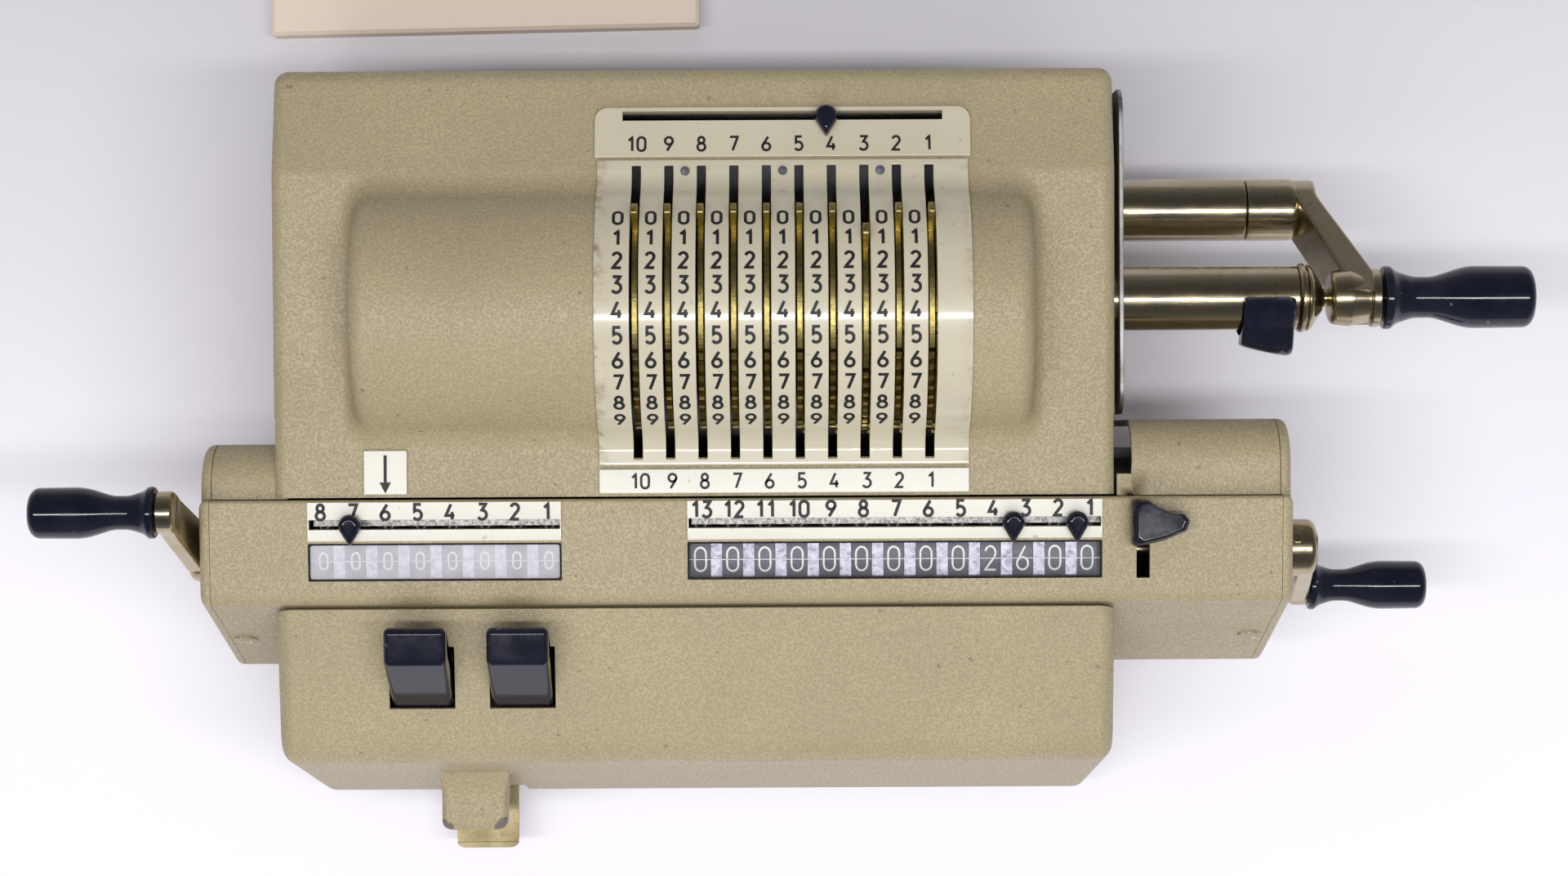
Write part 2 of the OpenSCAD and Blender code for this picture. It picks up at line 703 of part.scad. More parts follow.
module label_plates() {
    lower_y = [-deck_front_y + 0.4, -deck_front_y + 0.4 + lower_plate_d];
    color(IVORY) {
        difference() {
            on_rear_deck() {
                start = panel_rear_y - deck_knee[0] + 0.6;
                x = panel_mid_x - upper_plate_w / 2;
                translate([0, 0, seat]) linear_extrude(height = plate_t) polygon(rounded(
                    [[x, start], [x + upper_plate_w, start], [x + upper_plate_w, start + upper_plate_d],
                        [x, start + upper_plate_d]], [0, 0, 3.3, 3.3]));
            }
            block([panel_mid_x - setting_track_l / 2, panel_mid_x + setting_track_l / 2],
                [setting_track_y - track_w / 2, setting_track_y + track_w / 2], [drum_z, big]);
        }
        block([panel_mid_x - panel_w / 2, panel_mid_x + panel_w / 2], lower_y,
            [deck_front_z, deck_front_z + plate_t]);
        block([-counter_mark_x - arrow_plate_w / 2, -counter_mark_x + arrow_plate_w / 2],
            [-deck_front_y + 0.4, -deck_front_y + 0.4 + arrow_plate_d], [deck_front_z, deck_front_z + plate_t]);
    }
}

module column_studs() {
    y = drum_y + cover_r + 0.8;
    z = deck_height(y) + seat + panel_t;
    color(STEEL) difference() {
        for (i = [1.5, 4.5, 7.5])
            translate([column_1_x - pitch * i, y, z - panel_t / 2])
                cylinder(h = stud_h + panel_t / 2, r = stud_r, $fn = 32);
        along_x(-half_w, half_w) polygon(rear_flange());
    }
}

module crank_tubes() {
    start = frame_x + frame_plate_t + seat;
    color(NICKEL) {
        difference() {
            rod_x(start, crank_tube_x, tube_r, crank_y, crank_z);
            rod_x(start - 1, crank_tube_x + 1, crank_shaft_r + fit, crank_y, crank_z);
        }
        difference() {
            rod_x(start, lock_tube_x, tube_r, lock_y, lock_z);
            rod_x(start - 1, lock_tube_x + 1, tube_r - 2, lock_y, lock_z);
        }
    }
}

module stop_bush() {
    x = lock_tube_x;
    color(NICKEL) turned_x(rounded(
        [[0, x - 8], [tube_r - 2 - fit, x - 8], [tube_r - 2 - fit, x], [bush_r - 0.6, x], [bush_r, x + 1.6],
            [bush_r, x + 3], [3.6, x + bush_l], [0, x + bush_l]],
        [0, 0.5, 0, 0.5, 0.4, 1.2, 0.5, 0]), lock_y, lock_z);
}

module drum_shaft() {
    color(STEEL) {
        rod_x(-frame_x - frame_plate_t + seat, frame_x + frame_plate_t - seat, drum_shaft_r, drum_y, drum_z);
        rod_x(hub_start, hub_end, drum_hub_r, drum_y, drum_z);
        gear_x(gear_x, gear_x + gear_w, drum_y, drum_z, gear_line, drum_shaft_r - 0.5);
        rod_x(gear_x, gear_x + gear_w + 3, drum_hub_r - 1, drum_y, drum_z);
        rod_x(finger_x - 2, finger_x + 2, 13, drum_y, drum_z);
        block([finger_x - 2, finger_x + 2], [drum_y - 3, drum_y + 3], [drum_z - disc_r, drum_z - 8]);
    }
}

// One disc with its nine teeth, which stand at digits one to nine of a lever at zero
module pinwheel_disc(x) {
    teeth = 9;
    tooth_w = 5;
    rim = [
        for (i = [0:teeth - 1])
        each [
            for (s = [[-1, 0], [-1, 1], [1, 1], [1, 0]])
            let (a = 90 + 8 + digit_step * 0.95 * i + s[0] * tooth_w / 2)
            (disc_r + s[1] * disc_tooth_h) * [cos(a), sin(a)]
        ]
    ];
    round_part = [for (a = [190:10:440]) disc_r * [cos(a), sin(a)]];
    difference() {
        translate([0, drum_y, drum_z]) along_x(x, x + disc_t) polygon(concat(rim, round_part));
        rod_x(x - 1, x + disc_t + 1, drum_hub_r + fit / 2, drum_y, drum_z);
    }
}

module pinwheel_discs() {
    color(BRASS) for (i = [0:columns - 1]) pinwheel_disc(column_1_x - pitch * i + disc_start);
}

// Outline of the sector; the tip stands at ninety degrees and the front lies to the right
function sector() = let (steps = 30) concat(
    [[0, 0]],
    [for (k = [0:steps]) let (a = 90 + sector_start + (sector_end - sector_start) * k / steps)
        lever_sector_r * [cos(a), sin(a)]]
);

module setting_lever(i) {
    x = column_1_x - pitch * (i - 1);
    turn = -lever_zero + (i == raised_column ? digit_step : 0);
    color(BRASS) difference() {
        union() {
            rod_x(x - lever_t / 2, x + lever_t / 2, lever_ring_r, drum_y, drum_z);
            translate([0, drum_y, drum_z]) rotate([turn, 0, 0])
                along_x(x - lever_t / 2, x + lever_t / 2) polygon(sector());
            intersection() {
                translate([0, drum_y, drum_z]) rotate([turn, 0, 0])
                    block([x - lever_t / 2, x + lever_t / 2], [-lever_tip_w / 2, lever_tip_w / 2], [0, big]);
                rod_x(x - lever_t / 2, x + lever_t / 2, lever_r, drum_y, drum_z);
            }
        }
        rod_x(x - lever_t, x + lever_t, drum_hub_r + fit, drum_y, drum_z);
    }
}

module crank_shaft() {
    color(STEEL) {
        rod_x(gear_x - 2, crank_tube_x + crank_hub_l - 4, crank_shaft_r, crank_y, crank_z);
        gear_x(gear_x, gear_x + gear_w, crank_y, crank_z, gear_line + 180 + 180 / gear_teeth,
            crank_shaft_r - 0.5);
    }
}

module crank_arm() {
    x = crank_tube_x + clear;
    end = x + crank_hub_l;
    color(NICKEL) difference() {
        union() {
            turned_x(rounded([[0, x], [tube_r, x], [tube_r, end], [0, end]], [0, 0.4, 4, 0]), crank_y, crank_z);
            hull() {
                rod_x(end - 7, end - 1, 5.6, crank_y, crank_z);
                rod_x(crank_boss_x + 3, crank_boss_x + 9, 5, lock_y, lock_z);
            }
            turned_x(rounded(
                [[0, crank_boss_x], [6.8, crank_boss_x], [7.4, crank_boss_x + 5], [5.4, crank_boss_x + crank_boss_l],
                    [0, crank_boss_x + crank_boss_l]], [0, 1, 1.5, 0.6, 0]), lock_y, lock_z);
            rod_x(lock_tube_x + bush_l + clear, crank_boss_x + 1, 2.3, lock_y, lock_z);
            rod_x(crank_boss_x + crank_boss_l - 1, crank_boss_x + crank_boss_l + handle_l - 4, spindle_r,
                lock_y, lock_z);
        }
        rod_x(x - 1, crank_tube_x + crank_hub_l - 4 + fit, crank_shaft_r + fit / 2, crank_y, crank_z);
    }
}

// A turned handle from x0, growing in the direction dir, with a bore for its spindle
module handle(x0, dir, l, r, bore_r, bore_l, y, z) {
    flange = r;
    neck = r * 0.7;
    pts = [
        [0, 0], [flange, 0], [flange, l * 0.06], [r * 0.86, l * 0.09], [r * 0.86, l * 0.14], [neck, l * 0.24],
        [neck * 1.04, l * 0.38], [r * 0.97, l * 0.62], [r, l * 0.78], [r * 0.93, l], [0, l]
    ];
    translate([x0, 0, 0]) mirror([dir < 0 ? 1 : 0, 0, 0]) difference() {
        turned_x(rounded(pts, [0, 0.6, 0.4, 0.3, 0.4, 1.5, 3, 6, 5, 2.2, 0]), y, z);
        rod_x(-1, bore_l, bore_r, y, z);
    }
}

module crank_handle() {
    color(NAVY) handle(crank_boss_x + crank_boss_l + clear, 1, handle_l, handle_r, spindle_r + fit,
        handle_l - 3.5, lock_y, lock_z);
}

module clear_lever() {
    r0 = tube_r + seat;
    r1 = r0 + 2.6;
    grip = concat(
        [for (a = [90:15:270]) r0 * [cos(a), sin(a)]],
        [for (a = [270:-15:180]) r1 * [cos(a), sin(a)]],
        [[-clear_reach - 0.6, -3], [-clear_reach, 3.5], [-clear_reach + 1.5, 4.5]],
        [for (a = [140:-10:90]) r1 * [cos(a), sin(a)]]
    );
    color(NAVY) translate([0, lock_y, lock_z]) along_x(clear_x, clear_x + clear_w) polygon(grip);
}

module carriage_frame() {
    color(STEEL) difference() {
        union() {
            block([cap_inner_left + seat, cap_inner_right - seat], [frame_front, frame_rear],
                [carriage_z, carriage_z + frame_t]);
            for (x = [result_ear_x, counter_ear_x]) {
                block([x, x + ear_t], [-dial_y - 6, -dial_y + 6], [carriage_z, dial_z]);
                rod_x(x, x + ear_t, 6, -dial_y, dial_z);
            }
            for (y = [-front_rail_y, -rear_rail_y - rail_w - 2 * clear - rib_w])
                block([rib_left, rib_right],
                    [y + rail_w / 2 + clear, y + rail_w / 2 + clear + rib_w],
                    [carriage_z - rib_h, carriage_z + 1]);
            block([rib_left, rib_right], [rack_y - rack_w / 2, rack_y + rack_w / 2],
                [carriage_z - rib_h, carriage_z + 1]);
        }
        rod_x(-big, big, axle_r + fit, -dial_y, dial_z);
        for (i = [0:7])
            block([-release_x - carriage_on - 1.5 + pitch * i, -release_x - carriage_on + 1.5 + pitch * i],
                [rack_y - rack_w, rack_y + rack_w], [carriage_z - rib_h - 1, carriage_z - rib_h + 2]);
    }
}

module cover_screw_place(x) {
    translate([x, cover_edge[0] + face_dir[0] * screw_drop, cover_edge[1] + face_dir[1] * screw_drop])
        rotate([90 - atan2(-face_dir[0], -face_dir[1]), 0, 0]) children();
}

module carriage_cover() {
    inner = inset(front_section, sheet);
    x0 = cap_inner_left + seat;
    x1 = cap_inner_right - seat;
    color(PAINT) difference() {
        along_x(x0, x1) polygon(rounded(front_section, [0, 0.8, 3, 0]));
        along_x(x0 - 1, x1 + 1) polygon(rounded(
            [[inner[0][0], 0], inner[1], inner[2], [inner[3][0] - 12, 0]], [0, 0, 1.6, 0]));
        block([x0 - 1, x1 + 1], [-deck_front_y - 4, 0], [0, rear_cover_z - 2]);
        on_cover() {
            for (w = [[counter_window_x, counter_window_w], [result_window_x, result_window_w]]) {
                block([w[0] - w[1] / 2, w[0] + w[1] / 2], [-window_start - window_d, -window_start], [-5, 5]);
                block([w[0] - w[1] / 2 + track_margin, w[0] + w[1] / 2 - track_margin],
                    [-track_start - track_w / 2, -track_start + track_w / 2], [-5, 5]);
            }
        }
        block([transfer_x - transfer_stem_w / 2 - 0.25, transfer_x + transfer_stem_w / 2 + 0.25],
            [transfer_stem_y - transfer_stem_l - transfer_travel - 0.8, transfer_stem_y + clear],
            [dial_z + dial_r, big]);
        for (x = screw_x) cover_screw_place(x) cylinder(h = 12, r = 1.6, center = true, $fn = 32);
    }
}

module rear_cover(x0, x1, reach) {
    outer = [[reach, carriage_z], [reach, rear_cover_z], [cover_rear_y + seat, rear_cover_z],
        [cover_rear_y + seat, carriage_z]];
    inner = inset(outer, sheet);
    difference() {
        along_x(x0, x1) polygon(rounded(outer, [0, rear_cover_edge_r, 0, 0]));
        along_x(x0 - 1, x1 + 1) polygon(rounded(
            [[inner[0][0], 0], inner[1], [-big, inner[1][1]], [-big, 0]],
            [0, rear_cover_edge_r - sheet, 0, 0]));
    }
}

module rear_covers() {
    color(PAINT) {
        rear_cover(cap_inner_left + seat, -half_w + 3.3, rear_reach_left);
        rear_cover(outer_plate_x + 2.6, cap_inner_right - seat, rear_reach_right);
    }
}

module end_caps() {
    for (e = [[-carriage_left, rear_reach_left], [cap_inner_right, rear_reach_right]]) {
        outline = [[e[1], carriage_z], [e[1], rear_cover_z], [cover_rear_y, rear_cover_z],
            [cover_rear_y, cover_rear_z], cover_edge, cover_foot];
        color(PAINT) difference() {
            along_x(e[0], e[0] + end_cap_t) polygon(rounded(outline, [0, rear_cover_edge_r, 0, 0.8, 3, 0]));
            rod_x(e[0] - 1, e[0] + end_cap_t + 1, axle_r + fit, -dial_y, dial_z);
        }
    }
}

module cover_screws() {
    color(NICKEL) for (x = screw_x) cover_screw_place(x) difference() {
        union() {
            cylinder(h = 1.1, r = 3, $fn = 40);
            translate([0, 0, -4]) cylinder(h = 4.5, r = 1.5, $fn = 32);
        }
        rotate([0, 0, 35]) block([-4, 4], [-0.4, 0.4], [0.5, 2]);
    }
}

module register_strips() {
    color(IVORY) on_cover() difference() {
        for (w = [[counter_window_x, counter_window_w], [result_window_x, result_window_w]])
            block([w[0] - w[1] / 2, w[0] + w[1] / 2], [-window_start + 0.6, -0.5], [0, strip_t]);
        for (w = [[counter_window_x, counter_window_w], [result_window_x, result_window_w]])
            block([w[0] - w[1] / 2 + track_margin, w[0] + w[1] / 2 - track_margin],
                [-track_start - track_w / 2, -track_start + track_w / 2], [-5, 5]);
    }
}

module register_windows() {
    color(GLASS) on_cover() for (w = [[counter_window_x, counter_window_w], [result_window_x, result_window_w]])
        block([w[0] - w[1] / 2 + seat, w[0] + w[1] / 2 - seat],
            [-window_start - window_d + seat, -window_start - seat], [-glass_t - 0.2, -0.2]);
}

// A number dial with its ten-sided star wheel
module dial(x) {
    color(DIAL_GREY) difference() {
        union() {
            rod_x(x - dial_w / 2, x + dial_w / 2, dial_r, -dial_y, dial_z);
            translate([x + dial_w / 2 - star_root, -dial_y, dial_z]) rotate([0, 90, 0])
                cylinder(h = star_w, r = dial_r * 0.68, $fn = 10);
        }
        rod_x(x - dial_w, x + dial_w, axle_r + fit, -dial_y, dial_z);
    }
}

module counter_dials() {
    for (i = [1:counter_count]) dial(counter_x(i));
}

// One clearing crank with its axle, built to the right of the casing's middle from x0
module wing_crank(x0, cap_x, off, tilt) {
    end = cap_x + off - clear;
    arm = end - wing_arm_t;
    knob_y = -dial_y + wing_crank_r * sin(tilt);
    knob_z = dial_z + wing_crank_r * cos(tilt);
    color(NICKEL) {
        rod_x(x0, cap_x + 1, axle_r, -dial_y, dial_z);
        turned_x(rounded([[0, cap_x + clear], [wing_hub_r, cap_x + clear], [wing_hub_r, end], [0, end]],
            [0, 0.6, 1.2, 0]), -dial_y, dial_z);
        hull() {
            rod_x(arm, end - 0.5, wing_hub_r - 1.2, -dial_y, dial_z);
            rod_x(arm, end - 0.5, 5, knob_y, knob_z);
        }
        rod_x(arm, end, 5, knob_y, knob_z);
        rod_x(end - 1, end + wing_handle_l - 3.5, wing_spindle_r, knob_y, knob_z);
        translate([cap_x + clear + 2.2, -dial_y, dial_z]) rotate([90 - tilt, 0, 0])
            cylinder(h = 2 * wing_hub_r + 1, r = 1.3, center = true, $fn = 24);
    }
}

module wing_crank_left() {
    mirror([1, 0, 0])
        wing_crank(-counter_ear_x - ear_t, carriage_left, wing_off_left, wing_tilt);
}

module wing_crank_right() {
    wing_crank(result_ear_x, carriage_right, wing_off_right, wing_tilt + 180);
}

module wing_handle(cap_x, off, tilt) {
    color(NAVY) handle(cap_x + off, 1, wing_handle_l, wing_handle_r, wing_spindle_r + fit, wing_handle_l - 3,
        -dial_y + wing_crank_r * sin(tilt), dial_z + wing_crank_r * cos(tilt));
}

module wing_handle_left() {
    mirror([1, 0, 0]) wing_handle(carriage_left, wing_off_left, wing_tilt);
}

module wing_handle_right() {
    wing_handle(carriage_right, wing_off_right, wing_tilt + 180);
}

// A drop-shaped pointer whose stem runs in a slot; it points along -Y
module pointer(x, rest_z) {
    side = acos(pointer_r / pointer_l);
    drop = concat(
        [for (a = [-90 + side:(360 - 2 * side) / 12:270 - side + 0.01]) pointer_r * [cos(a), sin(a)]],
        [[-0.35, -pointer_l], [0.35, -pointer_l]]
    );
    color(NAVY) translate([x, 0, 0]) {
        translate([0, 0, rest_z + 0.15]) linear_extrude(height = pointer_h) polygon(drop);
        block([-stem_w / 2, stem_w / 2], [-stem_d / 2, stem_d / 2], [-3, rest_z + 1]);
    }
}

module setting_pointer() {
    on_rear_deck() translate([0, (setting_track_y - deck_knee[0]) / cos(atan(rear_slope)), 0])
        pointer(setting_mark_x, seat + plate_t);
}

module counter_pointer() {
    on_cover() translate([0, -track_start, 0]) pointer(counter_mark_left_x, strip_t);
}

module result_pointer_left() {
    on_cover() translate([0, -track_start, 0]) pointer(result_mark_left_x, strip_t);
}

module result_pointer_right() {
    on_cover() translate([0, -track_start, 0]) pointer(result_mark_right_x, strip_t);
}

module transfer_lever() {
    knob = rounded([[-3.6, -6.4], [9.6, -1.6], [11.4, 0.8], [9.6, 2.6], [-3.6, 6.2]], [1.2, 1, 0.8, 1, 1.2]);
    y = transfer_stem_y - transfer_stem_l / 2 + 0.6;
    rest = cover_rear_z - tan(cover_fall) * (cover_rear_y - (y + 6.6)) + 0.6;
    color(NAVY) {
        translate([transfer_x, y, rest]) linear_extrude(height = 6.5) polygon(knob);
        block([transfer_x - transfer_stem_w / 2, transfer_x + transfer_stem_w / 2],
            [transfer_stem_y - transfer_stem_l, transfer_stem_y], [dial_z + dial_r - 0.8, rest + 1]);
    }
}

module shift_key(x, top) {
    profile = [
        [key_rear_y, top], [key_rear_y - 9.2, top - 0.6], [key_front_y, apron_height(key_front_y) - seat * 3],
        [key_front_y, key_foot_z], [key_slot_rear_y - key_gap, key_foot_z],
        [key_slot_rear_y - key_gap, key_under_z - key_step], [key_rear_y - 0.5, key_under_z]
    ];
    color(NAVY) along_x(x - key_w / 2, x + key_w / 2) polygon(rounded(profile, [1.2, 1.2, 2, 0, 0, 0.5, 0.5]));
}

module release_lever() {
    x0 = -release_x - release_w / 2;
    x1 = -release_x + release_w / 2;
    pawl = [
        [release_pivot[0] - 2, release_pivot[1] + 2.6], [release_pivot[0] + 2, release_pivot[1] - 2.6],
        [rack_y + 1.5, carriage_z - rib_h - 5], [rack_y + 1.5, carriage_z - rib_h - clear],
        [rack_y - 1.5, carriage_z - rib_h - clear]
    ];
    color(STEEL) {
        rod_x(x0, x1, release_hub_r, release_pivot[0], release_pivot[1]);
        rod_x(x0 - clear - release_ear_t, x1 + clear + release_ear_t, release_pin_r, release_pivot[0],
            release_pivot[1]);
        translate([0, 0, release_z]) linear_extrude(height = release_t) polygon(rounded(
            [[x0, -release_tip_y], [x1, -release_tip_y], [x1, release_pivot[0] + 1], [x0, release_pivot[0] + 1]],
            [2.5, 2.5, 0, 0]));
        block([x0, x1], [-release_tip_y, -release_tip_y + release_t], [release_z, release_z + release_t + 0.4]);
        along_x(-release_x - 4, -release_x + 4) polygon(pawl);
    }
}

base_plate();
rubber_feet();
side_frames();
carriage_rails();
casing();
front_apron();
setting_panel();
label_plates();
column_studs();
crank_tubes();
stop_bush();
drum_shaft();
pinwheel_discs();
for (i = [1:columns]) {
    setting_lever(i);
}
crank_shaft();
crank_arm();
crank_handle();
clear_lever();
carriage_frame();
carriage_cover();
rear_covers();
end_caps();
cover_screws();
register_strips();
register_windows();
counter_dials();
for (i = [1:result_count]) {
    dial(result_x(i));
}
wing_crank_left();
wing_crank_right();
wing_handle_left();
wing_handle_right();
setting_pointer();
counter_pointer();
result_pointer_left();
result_pointer_right();
transfer_lever();
shift_key(-key_left_x, key_left_z);  // shift_key_left
shift_key(-key_right_x, key_right_z);  // shift_key_right
release_lever();
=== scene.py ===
"""Dresses a hand-cranked pinwheel calculator in paint, enamel, print, brass, nickel and plastic."""

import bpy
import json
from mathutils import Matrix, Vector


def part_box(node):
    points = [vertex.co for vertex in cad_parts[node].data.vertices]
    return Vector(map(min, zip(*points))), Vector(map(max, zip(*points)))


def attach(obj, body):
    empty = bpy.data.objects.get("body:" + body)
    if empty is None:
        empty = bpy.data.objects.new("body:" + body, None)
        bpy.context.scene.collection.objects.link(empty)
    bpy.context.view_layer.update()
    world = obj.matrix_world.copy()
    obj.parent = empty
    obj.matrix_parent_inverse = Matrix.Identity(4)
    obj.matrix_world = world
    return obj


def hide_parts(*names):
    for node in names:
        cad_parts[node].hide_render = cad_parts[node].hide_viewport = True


bl_info = {
    "name": "Pinwheel calculator",
    "version": (1, 0, 0),
    "blender": (4, 5, 0),
    "location": "3D View > Sidebar > Calculator",
    "description": "Builds the covers, plates, dials, levers and cranks of a calculator around its solids",
    "category": "Object",
}

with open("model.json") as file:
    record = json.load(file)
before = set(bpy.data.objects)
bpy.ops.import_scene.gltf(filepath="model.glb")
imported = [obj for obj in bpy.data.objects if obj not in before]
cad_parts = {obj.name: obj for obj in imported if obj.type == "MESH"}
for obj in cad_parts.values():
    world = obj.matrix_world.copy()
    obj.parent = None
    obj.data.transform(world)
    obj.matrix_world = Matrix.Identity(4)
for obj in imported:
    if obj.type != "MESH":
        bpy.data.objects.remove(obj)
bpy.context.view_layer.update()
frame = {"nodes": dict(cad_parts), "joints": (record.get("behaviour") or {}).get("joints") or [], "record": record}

import json
import math

import bmesh
import bpy
import numpy as np
from mathutils import Vector

MM = 0.001


# Places that come from the frame, in millimetres

def span(node):
    """Lowest and highest corner of a node."""
    low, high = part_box(node)
    return np.array(low) / MM, np.array(high) / MM


def pivot(joint):
    """Y and Z of the axis that a joint turns about."""
    found = next(j for j in frame["joints"] if j["name"] == joint)
    return np.array(found["pos_m"])[1:] / MM


def body_of(node):
    return next(body for body, members in frame["record"]["behaviour"]["bodies"].items() if node in members)


CASING_LOW, CASING_HIGH = span("casing")
HALF_W, REAR_Y = CASING_HIGH[:2]
DECK_FRONT_Y, BASE_Z = CASING_LOW[1:]
DRUM_Y, DRUM_Z = pivot("drum_turn")
COVER_R = CASING_HIGH[2] - DRUM_Z
DIAL_Y, DIAL_Z = pivot("dial_1_turn")
CRANK = pivot("crank_turn")
LOCK = pivot("clear_press")
PANEL_LOW, PANEL_HIGH = span("setting_panel")
PANEL_MID_X = (PANEL_LOW[0] + PANEL_HIGH[0]) / 2
PANEL_R = PANEL_HIGH[2] - DRUM_Z
LEVER_LOW, LEVER_HIGH = span("setting_lever_1")
COVER_LOW, COVER_HIGH = span("carriage_cover")
CAPS_LOW, CAPS_HIGH = span("end_caps")
APRON_LOW, APRON_HIGH = span("front_apron")
TUBES_LOW, TUBES_HIGH = span("crank_tubes")
TUBE_R = TUBES_HIGH[2] - LOCK[1]
COLUMNS = range(1, 11)
PITCH = 8.0
COLUMN_X = [(LEVER_LOW[0] + LEVER_HIGH[0]) / 2 - PITCH * (column - 1) for column in COLUMNS]
SHEET = 1.6

# Lines of the casing's deck
DECK_FRONT_Z = 84.0
KNEE_Y = DRUM_Y + COVER_R + 0.95
KNEE_Z = 86.5
MID_SLOPE = (KNEE_Z - DECK_FRONT_Z) / KNEE_Y
REAR_SLOPE = -5.5 / (REAR_Y - 2 - KNEE_Y)
REAR_FALL = -math.atan(REAR_SLOPE)
BULGE_HALF_L = 83.3
BULGE_EDGE_R = 4.5
BULGE_BACK_Y = 58.5
OPENING_X = (PANEL_LOW[0] + 2.4, PANEL_HIGH[0] - 2.4)
OPENING_Y = (-3.0, PANEL_HIGH[1] - 0.9)
PANEL_LIFT = 0.91
PLATE_LIFT = 1.1
TRACK_HALF_W = 1.2
SETTING_TRACK_X = (PANEL_MID_X - 39.5, PANEL_MID_X + 39.5)
SETTING_TRACK_Y = PANEL_HIGH[1] + 10.8
PASSAGE_Y = 7.35
PASSAGE_Z = 29.5

# Lines of the carriage cover
COVER_TOP_D = 25.55
COVER_REAR = np.array([DECK_FRONT_Y - 0.9, 85.3])
COVER_EDGE = np.array([COVER_REAR[0] - COVER_TOP_D, 83.2])
COVER_FOOT = np.array([COVER_LOW[1], COVER_LOW[2]])
COVER_EDGE_R = 3.2
COVER_FALL = math.atan2(COVER_REAR[1] - COVER_EDGE[1], COVER_TOP_D)
WINDOW_START = 10.8
WINDOW_D = 9.4
TRACK_START = 6.1
STRIP_T = 0.6
STRIP_MARGIN = 0.35
STRIPS_LOW, STRIPS_HIGH = span("register_strips")
DIAL_R = span("result_dial_1")[1][2] - DIAL_Z
DIAL_W = 5.3
DIAL_BORE = 3.06
RESULT_X = [span(f"result_dial_{i}")[0][0] + DIAL_W / 2 - 0.9 for i in range(1, 14)]
COUNTER_X = [span("counter_dials")[0][0] + DIAL_W / 2 + PITCH * i for i in range(8)]
REGISTERS = {
    "counter": ((STRIPS_LOW[0], STRIPS_LOW[0] + 62.7), COUNTER_X),
    "result": ((STRIPS_HIGH[0] - 102.5, STRIPS_HIGH[0]), RESULT_X[::-1]),
}

# Lines of the apron
APRON_REAR_Y = COVER_EDGE[0] - 1.7
APRON_FRONT_Y = -REAR_Y
APRON_DECK_Z = APRON_HIGH[2]
APRON_CORNER = np.array([APRON_FRONT_Y + 15.25, 75.6])
APRON_EDGE_R = 9.0
RELEASE_X = -58.8

# Angles on the drum, in degrees from the top to the front
DIGIT_STEP = 10.3
DIGIT_ZERO = -39.7
LEVER_ZERO = -40.5

# How far print reaches into the surface below it
SINK = 0.03


def srgb(*levels):
    """A colour given as 0 to 255, as Blender's linear values."""
    shares = [level / 255 for level in levels]
    return [v / 12.92 if v <= 0.04045 else ((v + 0.055) / 1.055) ** 2.4 for v in shares]


# What a user would change

def colour(name, description, *levels):
    return bpy.props.FloatVectorProperty(
        name=name, description=description, subtype="COLOR", size=3, min=0, max=1, default=srgb(*levels))


def length(name, description, default, low, high):
    """A length given here in millimetres and kept in metres."""
    return bpy.props.FloatProperty(
        name=name, description=description, subtype="DISTANCE", unit="LENGTH", precision=5,
        default=default * MM, min=low * MM, max=high * MM)


class CalculatorColours(bpy.types.PropertyGroup):
    """Colours of the finishes."""

    paint: colour("Paint", "Hammered paint of the covers", 165, 152, 121)
    enamel: colour("Enamel", "Ivory plates", 191, 184, 162)
    plastic: colour("Plastic", "Handles, keys and pointers", 16, 18, 31)
    nickel: colour("Nickel", "Plated tubes and cranks", 182, 171, 147)
    brass: colour("Brass", "Setting levers and worn plating", 200, 181, 112)
    steel: colour("Steel", "Inner plates and shafts", 120, 120, 124)
    rubber: colour("Rubber", "Feet", 28, 28, 30)
    dial: colour("Dial", "Number dials", 58, 57, 67)
    black_print: colour("Black print", "Numbers on the plates", 22, 22, 26)
    white_print: colour("White print", "Numbers on the dials", 238, 238, 232)
    dirt: colour("Dirt", "Grime in corners", 92, 74, 48)
    floor: colour("Floor", "Floor under the machine", 238, 235, 243)


class CalculatorSizes(bpy.types.PropertyGroup):
    """Sizes of the finish."""

    fillet: length("Fillet", "Radius where the drum cover meets the deck", 4.0, 1, 8)
    side_round: length("Side edge", "Radius of the casing's long edges", 3.5, 1, 6)
    rear_round: length("Rear edge", "Radius of the casing's rear edge", 5.0, 1, 8)
    apron_round: length("Apron edge", "Radius of the apron's side edges", 4.0, 1, 6)
    cap_round: length("Cap edge", "Radius of the end caps' outer edges", 2.0, 0.5, 2.5)
    paint_grain: length("Paint grain", "Size of the paint's grain", 0.55, 0.2, 2)
    panel_digit: length("Panel digit", "Height of the numbers beside the slots", 3.9, 2, 5)
    plate_digit: length("Plate digit", "Height of the numbers on the label plates", 3.5, 2, 5)
    dial_digit: length("Dial digit", "Height of the numbers on the dials", 6.0, 3, 7)
    print_height: length("Print height", "Thickness of the printed numbers", 0.05, 0.02, 0.2)


def size(key):
    """A size of the panel, in millimetres."""
    return getattr(bpy.context.scene.calculator_sizes, key) / MM


def colours():
    return bpy.context.scene.calculator_colours


# Outlines and points

QUARTER = np.linspace(0, math.pi / 2, 7)


def unit(vectors):
    vectors = np.asarray(vectors, float)
    return vectors / np.linalg.norm(vectors, axis=-1, keepdims=True)


def left_of(vectors):
    """Unit vectors square to the given ones, on their left."""
    along = unit(vectors)
    return np.stack([-along[..., 1], along[..., 0]], axis=-1)


def full_turn(steps):
    return np.linspace(0, 2 * math.pi, steps, endpoint=False)


def disc(centre, radius, angles):
    return np.column_stack([centre[0] + radius * np.cos(angles), centre[1] + radius * np.sin(angles)])


